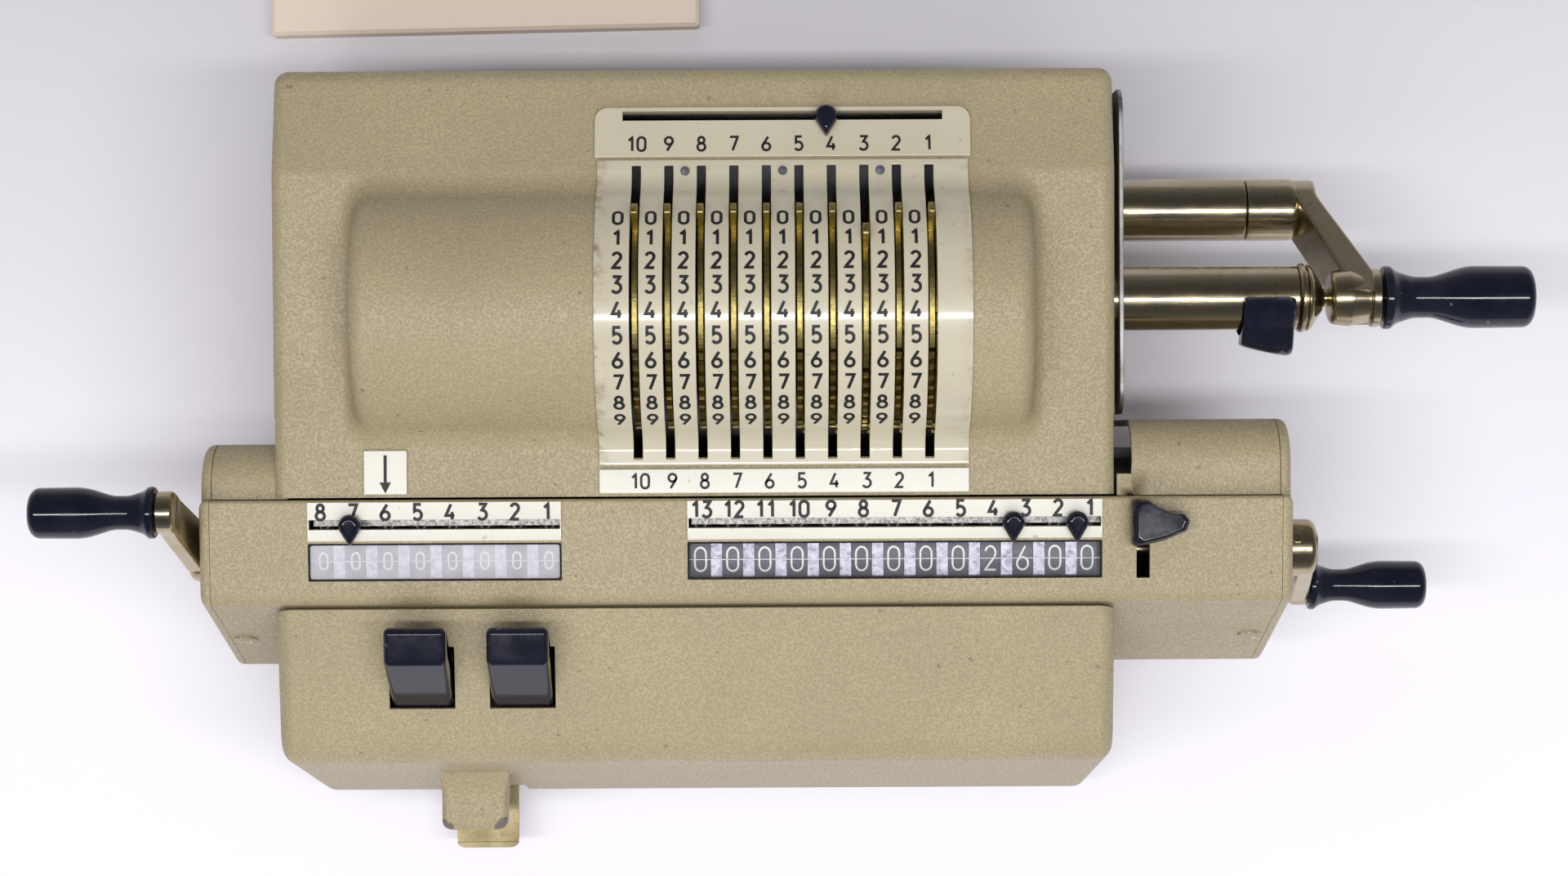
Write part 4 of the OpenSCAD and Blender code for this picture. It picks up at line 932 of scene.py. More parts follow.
def deck_z(y):
    """Height of the deck, with its knee softened."""
    mid = DECK_FRONT_Z + MID_SLOPE * np.maximum(y, 0)
    rear = KNEE_Z + REAR_SLOPE * (y - KNEE_Y)
    soft = 0.25
    share = np.clip(0.5 + 0.5 * (rear - mid) / soft, 0, 1)
    return rear * (1 - share) + mid * share - soft * share * (1 - share)


def cover_field(points, fillet):
    """Distance to the deck and the drum cover, with a fillet between them."""
    x, y, z = points.T
    deck = (z - deck_z(y)) * np.where(y > KNEE_Y, math.cos(REAR_FALL), 1.0)
    radial = np.hypot(y - DRUM_Y, z - DRUM_Z) - (COVER_R - BULGE_EDGE_R)
    along = np.abs(x) - (BULGE_HALF_L - BULGE_EDGE_R)
    outside = np.hypot(np.maximum(radial, 0), np.maximum(along, 0))
    bulge = outside + np.minimum(np.maximum(radial, along), 0) - BULGE_EDGE_R
    corner = np.hypot(np.maximum(fillet - deck, 0), np.maximum(fillet - bulge, 0))
    return np.maximum(fillet, np.minimum(deck, bulge)) - corner


def cover_surface(xs, ys, level=0.0):
    """Points of the casing's top, or of a surface at a level above it."""
    x, y = np.meshgrid(xs, ys, indexing="ij")
    deck = deck_z(y)
    hump = np.maximum(DRUM_Z + np.sqrt(np.clip(COVER_R ** 2 - (y - DRUM_Y) ** 2, 0, None)) - deck, 0)
    t = np.clip((np.abs(x) - (BULGE_HALF_L - 2.8)) / 6, 0, 1)
    rough = np.stack([x, y, deck + hump * (1 - t * t * (3 - 2 * t))], axis=2)
    fillet = size("fillet")
    step = 0.01
    p = rough.reshape(-1, 3)
    for _ in range(14):
        value = cover_field(p, fillet)
        slope = np.stack([(cover_field(p + step * e, fillet) - value) / step for e in np.eye(3)], axis=1)
        steep = np.maximum((slope * slope).sum(1), 0.05)
        p = p - ((value - level) / steep)[:, None] * slope
    return p.reshape(rough.shape)


def cover_y(front, rear, *cuts):
    """Stations from front to rear, close together where the surface turns."""
    first = math.acos((DRUM_Y - PASSAGE_Y) / COVER_R)
    last = math.pi - math.acos((BULGE_BACK_Y - DRUM_Y) / COVER_R)
    ring = DRUM_Y - COVER_R * np.cos(np.linspace(first, last, 50))
    return np.concatenate([spread((front, 1.5), (cuts[0], 0.5), (PASSAGE_Y, 1)), ring[1:-1],
                           spread((BULGE_BACK_Y, 0.5), (cuts[1], 0.5), (cuts[1] + 0.8, 2), (rear, 1))])


def casing_shape():
    side_round, rear_round = size("side_round"), size("rear_round")
    rear_reach = rear_round * (1 - math.sin(REAR_FALL))
    edge_x = HALF_W - side_round
    ys = np.concatenate([
        cover_y(DECK_FRONT_Y - 0.35, SETTING_TRACK_Y - TRACK_HALF_W, *OPENING_Y),
        spread((SETTING_TRACK_Y + TRACK_HALF_W, 2), (REAR_Y - rear_reach, 1))])
    out, into = BULGE_HALF_L + 5.5, BULGE_HALF_L - 5
    xs = spread((-edge_x, 3), (-out, 0.5), (-into, 9), (OPENING_X[0], 8), (SETTING_TRACK_X[0], 9),
                (SETTING_TRACK_X[1], 8), (OPENING_X[1], 8), (into, 0.5), (out, 3), (edge_x, 1))

    def hole(x, y, z):
        track = between(x, SETTING_TRACK_X) and abs(y - SETTING_TRACK_Y) < TRACK_HALF_W
        return track or (between(x, OPENING_X) and between(y, OPENING_Y))

    def passage(x, y, z):
        return y < PASSAGE_Y and PASSAGE_Z < z < DECK_FRONT_Z - 1.72

    top = cover_surface(xs, ys)
    top[0, :, 0], top[-1, :, 0] = -edge_x, edge_x
    # The wall runs down from the deck's left, rear and right edges
    fan = [(-math.cos(a), math.sin(a)) for a in np.linspace(0, math.pi / 2, 8)[1:]]
    edge = [(p, (-1, 0)) for p in top[0]] + [(top[0, -1], n) for n in fan]
    edge += [(p, (0, 1)) for p in top[1:, -1]] + [(top[-1, -1], (-x, y)) for x, y in fan[-2::-1]]
    edge += [(p, (1, 0)) for p in top[-1, ::-1]]
    rows = []
    for base, (nx, ny) in edge:
        begin = REAR_FALL * ny
        phi = np.linspace(begin, math.pi / 2, 7)
        out = (np.sin(phi) - math.sin(begin)) / (1 - math.sin(begin))
        radius = side_round + (rear_round - side_round) * ny * ny
        row = np.column_stack([base[0] + nx * side_round * out, base[1] + ny * rear_reach * out,
                               base[2] - radius * (math.cos(begin) - np.cos(phi))])
        rows.append(np.vstack([row, [*row[-1, :2], PASSAGE_Z], [*row[-1, :2], BASE_Z]]))
    return combine(grid(top, hole), grid(rows, passage))


class CALCULATOR_OT_casing(bpy.types.Operator):
    """Painted casing: deck, drum cover and walls as one pressed sheet."""

    bl_idname = "calculator.casing"
    bl_label = "Casing"

    def execute(self, context):
        sheet("casing_sheet", casing_shape(), "hammered_paint", "body", ["casing"], smooth=40)
        return {"FINISHED"}


# Apron

def apron_shape():
    r = size("apron_round")
    path = rounded(
        [[APRON_FRONT_Y, BASE_Z], APRON_CORNER, [APRON_REAR_Y, APRON_DECK_Z]], [0, APRON_EDGE_R, 0], steps=12)
    key_y = (APRON_REAR_Y - 25, APRON_REAR_Y - 9.4)
    notch_z = 14.0
    path = with_cuts(path, 1, [notch_z, 30, 50])
    path = with_cuts(path, 0, [*key_y, APRON_REAR_Y - 4])
    keys = [span(node) for node in ("shift_key_left", "shift_key_right")]
    apertures = [(low[0] - 0.6, high[0] + 0.6) for low, high in keys]
    notch = (RELEASE_X - 9.1, RELEASE_X + 10.9)
    edge_x = HALF_W - r
    marks = sorted([*apertures[0], *apertures[1], *notch])
    xs = spread((-edge_x, 8), *[(m, 8) for m in marks], (edge_x, 1))

    def hole(x, y, z):
        key = any(between(x, a) for a in apertures) and between(y, key_y)
        return key or (between(x, notch) and z < notch_z)

    shapes = [grid(swept(xs, path), hole)]
    # Both sides: the edge turns over into a flat wall
    normal = left_of(np.gradient(path, axis=0))
    lean = (COVER_EDGE[0] - COVER_FOOT[0]) / (COVER_EDGE[1] - COVER_FOOT[1])
    rear_y = DECK_FRONT_Y - 0.3
    back = [[COVER_FOOT[0] - 2.4, PASSAGE_Z], [rear_y, PASSAGE_Z], [rear_y, BASE_Z]]
    for side in (-1, 1):
        rows = []
        for phi in QUARTER:
            line = path - normal * r * (1 - math.cos(phi))
            line[-1, 0] = APRON_REAR_Y - (APRON_DECK_Z - line[-1, 1]) * lean
            line[0, 1] = BASE_Z
            rows.append(placed(line, 0, side * (edge_x + r * math.sin(phi))))
        wall = np.vstack([rows[-1], placed(back, 0, side * HALF_W)])
        shapes += [grid(rows[::side]), (wall, [tuple(range(len(wall)))[::-side]])]
    return combine(*shapes)


def tab_shape():
    """The thumb tab: a lug that swells as it meets the apron."""
    tip_y, root_y = APRON_LOW[1], APRON_FRONT_Y + 11.0
    tip_r = 2.4
    stations = [(tip_y + tip_r * (1 - math.cos(a)), tip_r * (1 - math.sin(a))) for a in QUARTER]
    stations += [(y, 0.0) for y in np.linspace(tip_y + tip_r, root_y, 22)[1:]]
    rows = []
    for y, inwards in stations:
        swell = max(0, (y - (APRON_FRONT_Y + 2.5)) / 5.5) ** 2
        half = 8.5 - inwards + 0.5 * swell
        high = 44.0 - 0.7 * inwards + 2.2 * swell
        low = 37.0 + 0.7 * inwards - 4.0 * np.clip((y - tip_y) / 14, 0, 1)
        section = rounded(rectangle(-half, low, half, high), [1.6] * 4, closed=True, steps=5)
        rows.append(placed(section + [RELEASE_X, 0], 1, y))
    return loft(rows)


class CALCULATOR_OT_apron(bpy.types.Operator):
    """Painted front apron with its key apertures and thumb tab."""

    bl_idname = "calculator.apron"
    bl_label = "Front apron"

    def execute(self, context):
        sheet("apron_sheet", apron_shape(), "hammered_paint", "body", ["front_apron"], smooth=40)
        piece("thumb_tab", tab_shape(), "hammered_paint", "body", smooth=50)
        return {"FINISHED"}


# Setting panel

class CALCULATOR_OT_panel(bpy.types.Operator):
    """Ivory setting panel with ten slots."""

    bl_idname = "calculator.panel"
    bl_label = "Setting panel"

    def execute(self, context):
        half = 1.1
        left, right = PANEL_LOW[0], PANEL_HIGH[0]
        slot_y = (PANEL_LOW[1] + 1.55, PANEL_HIGH[1] - 1.6)
        marks = sorted(x + side * half for x in COLUMN_X for side in (-1, 1))
        xs = spread((left, 1.5), *[(m, 3) for m in marks], (right - 4.5, 1.5), (right, 1))
        points = cover_surface(xs, cover_y(PANEL_LOW[1], PANEL_HIGH[1], *slot_y), PANEL_LIFT)
        points[:, 0, 1], points[:, -1, 1] = PANEL_LOW[1], PANEL_HIGH[1]

        def hole(x, y, z):
            return between(y, slot_y) and any(abs(x - column) < half for column in COLUMN_X)

        obj = sheet("panel_sheet", grid(points, hole), "ivory_enamel", "body", ["setting_panel"],
                    wall=PANEL_LIFT - 0.1, bevel=0.22, segments=2, angle=60)
        x = read(obj.data.vertices, "co", 3)[::3] / MM
        near = np.minimum(x - left, right - x)
        put_attribute(obj, "grime", np.clip(1 - near / 3.2, 0, 1) * np.where(x < PANEL_MID_X, 1.0, 0.5))
        return {"FINISHED"}


class CALCULATOR_OT_plates(bpy.types.Operator):
    """Label plates above and below the panel, and the arrow plate."""

    bl_idname = "calculator.plates"
    bl_label = "Label plates"

    def execute(self, context):
        left, right = PANEL_LOW[0] - 0.7, PANEL_HIGH[0] + 0.7
        front, rear, corner = 3.3, 16.2, 3.3
        outline = rounded(rectangle(left, front, right, rear), [0, 0, corner, corner], closed=True)
        track = [(SETTING_TRACK_Y + side * TRACK_HALF_W - KNEE_Y) / math.cos(REAR_FALL) for side in (-1, 1)]
        slot = np.clip(outline, [SETTING_TRACK_X[0], track[0]], [SETTING_TRACK_X[1], track[1]])
        levels = [(slot, 0.1), (outline, 0.1), (outline, 0.8), (inset(outline, 0.08), 1.0),
                  (inset(outline, 0.28), PLATE_LIFT), (slot, PLATE_LIFT)]
        plate = loft([placed(points, 2, lift) for points, lift in levels], looped=True)
        piece("upper_plate", tilted(plate, (0, KNEE_Y, KNEE_Z), -REAR_FALL), "ivory_enamel", "body",
              ["label_plates"])
        shapes = [block((x0, DECK_FRONT_Y + 0.4, 84.05), (x1, y1, 85.0))
                  for x0, x1, y1 in ((PANEL_LOW[0], PANEL_HIGH[0], -5.75), (-81.65, -70.95, -0.85))]
        piece("lower_plates", combine(*shapes), "white_enamel", "body", bevel=0.25)
        return {"FINISHED"}


def arrow_shape(x, y, z):
    """A printed arrow that points to the front."""
    outline = [(-0.4, 4.5), (-0.4, -2.2), (-1.45, -2.2), (0, -5.0), (1.45, -2.2), (0.4, -2.2), (0.4, 4.5)]
    return loft([placed(np.add(outline, (x, y)), 2, z + lift) for lift in (-SINK, size("print_height"))])


class CALCULATOR_OT_print(bpy.types.Operator):
    """Printed numbers of the panel, the label plates and the register strips."""

    bl_idname = "calculator.print"
    bl_label = "Printed numbers"

    def execute(self, context):
        # One column of ten digits, repeated beside each slot
        height, x = size("panel_digit"), COLUMN_X[-1] - 4.05
        column = [on_drum(lettering(d, height, 0.76), x, DIGIT_ZERO + DIGIT_STEP * d, PANEL_R - 0.06,
                          (DRUM_Y, DRUM_Z)) for d in range(10)]
        piece("panel_numbers", combine(*column), "black_print", "body", row=(len(COLUMNS), PITCH), smooth=20)
        upper_y, lower_y, lower_z = 74.4, -8.75, 85.0
        upper_z = KNEE_Z + REAR_SLOPE * (upper_y - KNEE_Y) + PLATE_LIFT / math.cos(REAR_FALL)
        shapes = [arrow_shape(-76.3, -6.5, lower_z)]
        for number, x in zip(COLUMNS, COLUMN_X):
            shape = lettering(number, size("plate_digit"), 0.62)
            shapes.append(on_plane(shape, x, upper_y, upper_z, REAR_SLOPE))
            shapes.append(on_plane(shape, x + 0.4, lower_y, lower_z))
        piece("plate_numbers", combine(*shapes), "black_print", "body", smooth=20)
        slope = math.tan(COVER_FALL)
        strips = []
        for places, order, y, shift in (
                (RESULT_X, range(1, 14), -15.75, 0.4), (COUNTER_X, range(8, 0, -1), -16.05, 0)):
            z = COVER_REAR[1] + (y - COVER_REAR[0]) * slope + STRIP_T / math.cos(COVER_FALL)
            for x, number in zip(places, order):
                strips.append(on_plane(lettering(number, 3.8, 0.78), x + shift, y, z, slope))
        piece("strip_numbers", combine(*strips), "black_print", "carriage", smooth=20)
        return {"FINISHED"}


class CALCULATOR_OT_studs(bpy.types.Operator):
    """Domed studs between the setting columns."""

    bl_idname = "calculator.studs"
    bl_label = "Column studs"

    def execute(self, context):
        low, high = span("column_studs")
        r, top = (high[1] - low[1]) / 2, high[2]
        levels = [(r, low[2]), (r, top - 0.35), (r * 0.9, top - 0.1), (r * 0.6, top), (r * 0.1, top - 0.02)]
        rows = [placed(disc((low[0] + r, low[1] + r), radius, full_turn(28)), 2, z) for radius, z in levels]
        piece("studs", loft(rows), "stud_steel", "body", ["column_studs"], row=(3, 3 * PITCH))
        return {"FINISHED"}


# Drum and levers

def lever_shape(x, tip, steps=720):
    """A setting lever: a ring, a sector with teeth at its far end, and the tip."""
    ring_r, sector_r, tip_r, bore = 24.0, 30.4, 37.4, 9.06
    half, tip_half = 0.75, 2.95
    theta = np.linspace(-180, 180, steps, endpoint=False)
    ahead = (theta - tip + 180) % 360 - 180
    radius = np.where((ahead > -3) & (ahead < 120), sector_r, ring_r)
    gap = 1.8 * np.clip((np.abs(ahead % 6 / 6 - 0.5) - 0.2) / 0.06, 0, 1)
    radius = radius - np.where((ahead > 60) & (ahead < 120), gap, 0)
    crown = tip_r - 2.7 * np.clip(np.abs(ahead) / tip_half - 0.45, 0, 1) ** 2
    radius = np.where(np.abs(ahead) < tip_half, crown, radius)
    return notched_disc(radius, bore, x - half, x + half, 0.14, np.radians(theta + 90))


class CALCULATOR_OT_levers(bpy.types.Operator):
    """Ten brass setting levers, each a toothed sector with its tip."""

    bl_idname = "calculator.levers"
    bl_label = "Setting levers"

    def execute(self, context):
        for number, x in zip(COLUMNS, COLUMN_X):
            tip = LEVER_ZERO + (DIGIT_STEP if number == 3 else 0)
            piece(f"lever_{number}_brass", lever_shape(x, tip), "brass_sheet", f"lever_{number}",
                  [f"setting_lever_{number}"], smooth=30)
        return {"FINISHED"}


class CALCULATOR_OT_drum(bpy.types.Operator):
    """Drum shaft with its gear, and the row of pinwheel discs."""

    bl_idname = "calculator.drum"
    bl_label = "Drum"

    def execute(self, context):
        eased("drum_shaft", "dull_steel", 0.2)
        start = span("pinwheel_discs")[0][0]
        tooth_step, first_tooth = DIGIT_STEP * 0.95, 93.1
        degrees = np.arange(360)
        turn = (degrees - first_tooth) % 360
        radius = np.where((turn < 9 * tooth_step) & (turn % tooth_step < 5.2), 31.0, 29.0)
        wheel = notched_disc(radius, 9.03, start, start + 3.4, 0.15, np.radians(degrees))
        piece("pinwheels", wheel, "brass_sheet", "drum", ["pinwheel_discs"], (len(COLUMNS), PITCH), smooth=30)
        return {"FINISHED"}


# Cranks, tubes and handles

class CALCULATOR_OT_handles(bpy.types.Operator):
    """Three navy handles, each with a flange, a neck, a bulge and a rounded end."""

    bl_idname = "calculator.handles"
    bl_label = "Handles"

    def execute(self, context):
        for node, joint, direction in (("crank_handle", "crank_grip_turn", 1),
                                       ("wing_handle_left", "wing_grip_left_turn", -1),
                                       ("wing_handle_right", "wing_grip_right_turn", 1)):
            low, high = span(node)
            start = low[0] if direction > 0 else high[0]
            long, r = high[0] - low[0], (high[2] - low[2]) / 2
            shares = [(0, 0), (0, 1), (0.05, 1), (0.10, 0.82), (0.21, 0.65), (0.34, 0.65), (0.56, 0.99),
                      (1, 0.97), (1, 0)]
            path = rounded([[long * a, r * b] for a, b in shares], [0, 0.8, 1.0, 4.5, 8, 9, 16, 2.6, 0],
                           steps=7)
            profile = [(radius, start + direction * x) for x, radius in path]
            piece(node + "_grip", turned(profile, pivot(joint), 80), "navy_plastic", body_of(node), [node],
                  smooth=50)
        return {"FINISHED"}


class CALCULATOR_OT_tubes(bpy.types.Operator):
    """Plated crank tube and lock tube, and the domed stop bush."""

    bl_idname = "calculator.tubes"
    bl_label = "Tubes and bush"

    def execute(self, context):
        start, x = TUBES_LOW[0], TUBES_HIGH[0]
        bore, crank_end = 5.1, 141.0
        tubes = [lathe([[bore, start], [TUBE_R, start], [TUBE_R, end], [bore, end]], [0, 0.3, 0.45, 0],
                       axis, 96, looped=True) for axis, end in ((CRANK, crank_end), (LOCK, x))]
        piece("plated_tubes", combine(*tubes), "nickel_plate", "body", ["crank_tubes"])
        end, _, top = span("stop_bush")[1]
        r = top - LOCK[1]
        bush = lathe([[0, x - 8], [5.9, x - 8], [5.9, x], [r - 0.5, x], [r, x + 0.7], [r, x + 1.5],
                      [r - 1.3, x + 1.7], [r - 1.3, x + 2.1], [r - 0.3, x + 2.3], [r - 0.5, x + 3.2],
                      [3.4, end], [0, end]], [0, 0.3, 0, 0.4, 0.3, 0.2, 0.1, 0.1, 0.2, 1.6, 1.2, 0], LOCK)
        piece("stop_bush_turned", bush, "nickel_plate", "body", ["stop_bush"])
        return {"FINISHED"}


def bar_shape(start, end, widths, depths, ease):
    """A bent bar with a round end at its start; its depth lies along X."""
    start, end = np.asarray(start, float), np.asarray(end, float)
    line = end - start
    along = unit([0, line[1], line[2]])
    across = unit([0, -line[2], line[1]])

    def section(centre, w, h):
        ring = rounded(rectangle(-w, -h, w, h), [min(ease, w * 0.9)] * 4, closed=True, steps=3)
        return np.array([centre + across * p + np.array([q, 0, 0]) for p, q in ring])

    w, h = widths[0] / 2, depths[0] / 2
    turns = np.radians([84, 72, 58, 44, 30, 15])
    rows = [section(start - along * w * math.sin(a), w * math.cos(a), h) for a in turns]
    for t in np.linspace(0, 1, 21):
        centre = start + line * t
        centre[0] = start[0] + line[0] * np.clip((t - 0.06) / 0.8, 0, 1)
        rows.append(section(centre, np.interp(t, (0, 1), widths) / 2, np.interp(t, (0, 1), depths) / 2))
    return loft(rows)


class CALCULATOR_OT_crank(bpy.types.Operator):
    """Main crank: hub, bent arm, boss with its lock pin, and the shaft."""

    bl_idname = "calculator.crank"
    bl_label = "Main crank"

    def execute(self, context):
        x = span("crank_arm")[0][0]
        hub_end, boss, boss_end = x + 15, 159.4, 172.4
        arm_start, arm_end = 156.2, 167.0
        neck, lip, collar = boss_end - 3.4, boss_end - 3.0, boss_end - 2.6
        end = np.array([arm_end, *(LOCK + unit(LOCK - CRANK) * 3.4)])
        shape = combine(
            lathe([[0, x], [TUBE_R, x], [TUBE_R, hub_end], [0, hub_end]], [0, 0.4, 4.2, 0], CRANK, 96),
            lathe([[0, boss], [6.6, boss], [7.2, boss + 5], [6.2, neck], [6.4, lip], [7.4, collar],
                   [7.4, boss_end - 0.6], [5.4, boss_end], [0, boss_end]],
                  [0, 1.6, 2, 0.2, 0.1, 0.4, 0.6, 0.3, 0], LOCK),
            lathe([[0, 157.9], [2.3, 157.9], [2.3, 158.5], [1.8, 158.6], [1.8, 158.9], [2.3, 159.0],
                   [2.3, 161], [0, 161]], [0, 0.3, 0, 0, 0, 0, 0, 0], LOCK, 40),
            pin(3, boss_end - 1, boss_end + 34, LOCK, 40),
            bar_shape([arm_start, *CRANK], end, (15.2, 12.8), (5.6, 8.6), 0.9))
        piece("crank_arm_plated", shape, "nickel_plate", "crank", ["crank_arm"])
        eased("crank_shaft", "dull_steel", 0.2)
        return {"FINISHED"}


class CALCULATOR_OT_clear_lever(bpy.types.Operator):
    """Navy clear lever: a saddle on the lock tube with a curved paddle."""

    bl_idname = "calculator.clear_lever"
    bl_label = "Clear lever"

    def execute(self, context):
        low, high = span("clear_lever")
        inner_r, outer_r = 8.08, high[2] - LOCK[1]
        reach = LOCK[0] - low[1]

        def ring(radius, degrees):
            return disc((0, 0), radius, np.radians(degrees))

        tip = [[0.6, -3.6], [0, -0.5], [0.1, 2.4], [1.0, 4.2], [2.2, 5.0]]
        outline = np.vstack([ring(inner_r, range(90, 271, 12)), ring(outer_r - 0.6, range(270, 189, -10)),
                             np.array(tip) - [reach, 0], ring(outer_r, range(140, 89, -8))])[::-1]
        rows = []
        eases = ((0, 1.3), (0.015, 0.6), (0.05, 0.2), (0.11, 0), (0.3, 0), (0.5, 0), (0.7, 0), (0.89, 0),
                 (0.95, 0.2), (0.985, 0.6), (1, 1.3))
        for t, ease in eases:
            section = inset(outline, ease)
            paddle = np.clip((-section[:, 0] - 9.5) / (reach - 9.5), 0, 1)
            section[:, 0] += paddle * (2.6 * (1 - t) ** 1.5)
            rows.append(placed(section + LOCK, 0, low[0] + t * (high[0] - low[0])))
        piece("clear_paddle", loft(rows), "navy_plastic", "clear", ["clear_lever"], smooth=50)
        return {"FINISHED"}


class CALCULATOR_OT_wing_cranks(bpy.types.Operator):
    """Two clearing cranks with cross pins and axles."""

    bl_idname = "calculator.wing_cranks"
    bl_label = "Wing cranks"

    def execute(self, context):
        axis = np.array([DIAL_Y, DIAL_Z])
        for side, name, cap in ((-1, "left", CAPS_LOW[0]), (1, "right", CAPS_HIGH[0])):
            inner, tip = [corner[0] for corner in span(f"wing_crank_{name}")][::side]
            knob_axis = pivot(f"wing_grip_{name}_turn")
            end = [corner[0] for corner in span(f"wing_handle_{name}")][::side][0] - side * 0.3
            hub_r = 7.2
            hub, hub_end = cap + side * 0.3, end - side * 2.6
            knob = end - side * 4.6
            direction = np.array([0, *unit(knob_axis - axis)])
            square = unit(np.cross(direction, [1, 0, 0]))
            centre = np.array([cap + side * 2.5, *axis])
            cross_pin = [np.array([centre + direction * reach + [p, 0, 0] + square * q
                                   for p, q in disc((0, 0), radius, full_turn(24))])
                         for reach, radius in ((-7.7, 1.0), (-7.5, 1.3), (7.5, 1.3), (7.7, 1.0))]
            shape = combine(
                lathe([[0, hub], [hub_r, hub], [hub_r, hub_end], [0, hub_end]], [0, 0.6, 2.2, 0], axis),
                pin(3, inner, cap + side, axis, 40),
                lathe([[0, knob], [5.2, knob], [5.2, end], [0, end]], [0, 1.4, 0.5, 0], knob_axis, 56),
                pin(2.2, end, tip, knob_axis, 32),
                bar_shape([hub_end - side * 2.4, *axis], [end - side * 2.5, *knob_axis], (12.6, 9.8),
                          (4.6, 4.4), 1.0),
                loft(cross_pin))
            piece(f"wing_{name}_plated", shape, "nickel_plate", f"wing_{name}", [f"wing_crank_{name}"])
        return {"FINISHED"}


# Carriage

def on_slope(distance, lift=0.0):
    """Y and Z at a distance down the carriage cover from its rear edge."""
    c, s = math.cos(COVER_FALL), math.sin(COVER_FALL)
    return COVER_REAR + np.array([-distance * c - lift * s, -distance * s + lift * c])


def slope_y(*distances):
    """Y of places down the carriage cover, from front to rear."""
    return sorted(on_slope(distance)[0] for distance in distances)


class CALCULATOR_OT_carriage_cover(bpy.types.Operator):
    """Painted carriage cover with its windows and slots."""

    bl_idname = "calculator.carriage_cover"
    bl_label = "Carriage cover"

    def execute(self, context):
        path = rounded([COVER_FOOT, COVER_EDGE, COVER_REAR, [COVER_REAR[0], 79.7]],
                       [0, COVER_EDGE_R, 1.0, 0], steps=8)
        window = slope_y(WINDOW_START, WINDOW_START + WINDOW_D)
        track = slope_y(TRACK_START - TRACK_HALF_W, TRACK_START + TRACK_HALF_W)
        transfer_x, transfer_y = (109.2, 112.5), (-33.3, -17.2)
        path = np.vstack([with_cuts(path[:-1], 0, [*window, *track, *transfer_y]), path[-1:]])
        windows = [ends for ends, _ in REGISTERS.values()]
        tracks = [(left + STRIP_MARGIN, right - STRIP_MARGIN) for left, right in windows]
        marks = sorted(x for ends in (*windows, *tracks, transfer_x) for x in ends)
        xs = spread((COVER_LOW[0], 9), *[(m, 9) for m in marks], (COVER_HIGH[0], 1))
        openings = [(x, window) for x in windows] + [(x, track) for x in tracks] + [(transfer_x, transfer_y)]

        def hole(x, y, z):
            return z >= 80 and any(between(x, across) and between(y, along) for across, along in openings)

        sheet("carriage_sheet", grid(swept(xs, path), hole), "hammered_paint", "carriage", ["carriage_cover"],
              bevel=0.3, segments=2, angle=60)
        return {"FINISHED"}


def rear_cover_reach(side):
    caps = frame["nodes"]["end_caps"].data.vertices
    return max(v.co.y for v in caps if v.co.x * side > 0.1) / MM


class CALCULATOR_OT_rear_covers(bpy.types.Operator):
    """Rear covers of the carriage and the end caps, with rounded rims."""

    bl_idname = "calculator.rear_covers"
    bl_label = "Rear covers and end caps"

    def execute(self, context):
        (left, _, _), (right, _, top) = span("rear_covers")
        edge_r, r = 11.0, size("cap_round")
        covers, caps = [], []
        for side, x0, x1, outer, inner in ((-1, left, -101.0, CAPS_LOW[0], COVER_LOW[0] - 0.1),
                                           (1, 108.4, right, CAPS_HIGH[0], COVER_HIGH[0] + 0.1)):
            reach = rear_cover_reach(side)
            path = rounded([[COVER_REAR[0] + 0.1, top], [reach, top], [reach, COVER_LOW[2]]], [0, edge_r, 0],
                           steps=14)
            covers.append(grid(swept(spread((x0, 6), (x1, 1)), path)))
            if side > 0:
                ledge = path[0] + np.array([[0, 0], [2.6, 0], [5.5, 0]])
                covers.append(grid(swept(spread((HALF_W + 0.3, 6), (x0, 1)), ledge)))
            outline = [[reach, COVER_LOW[2]], [reach, top], [COVER_REAR[0], top], COVER_REAR, COVER_EDGE,
                       COVER_FOOT]
            rows = []
            for phi in QUARTER:
                inwards = r * (1 - math.sin(phi))
                radii = [0.02, edge_r - inwards, 0.02, 0.8, COVER_EDGE_R, 0.02]
                ring = rounded(inset(outline, inwards), radii, closed=True, steps=10)
                rows.append(placed(ring, 0, outer - side * r * (1 - math.cos(phi))))
            caps.append(loft([*rows, placed(ring, 0, inner)]))
        sheet("rear_sheets", combine(*covers), "hammered_paint", "carriage", ["rear_covers"], bevel=0.3,
              segments=2, angle=60)
        piece("cap_pair", combine(*caps), "hammered_paint", "carriage", ["end_caps"], smooth=45)
        return {"FINISHED"}


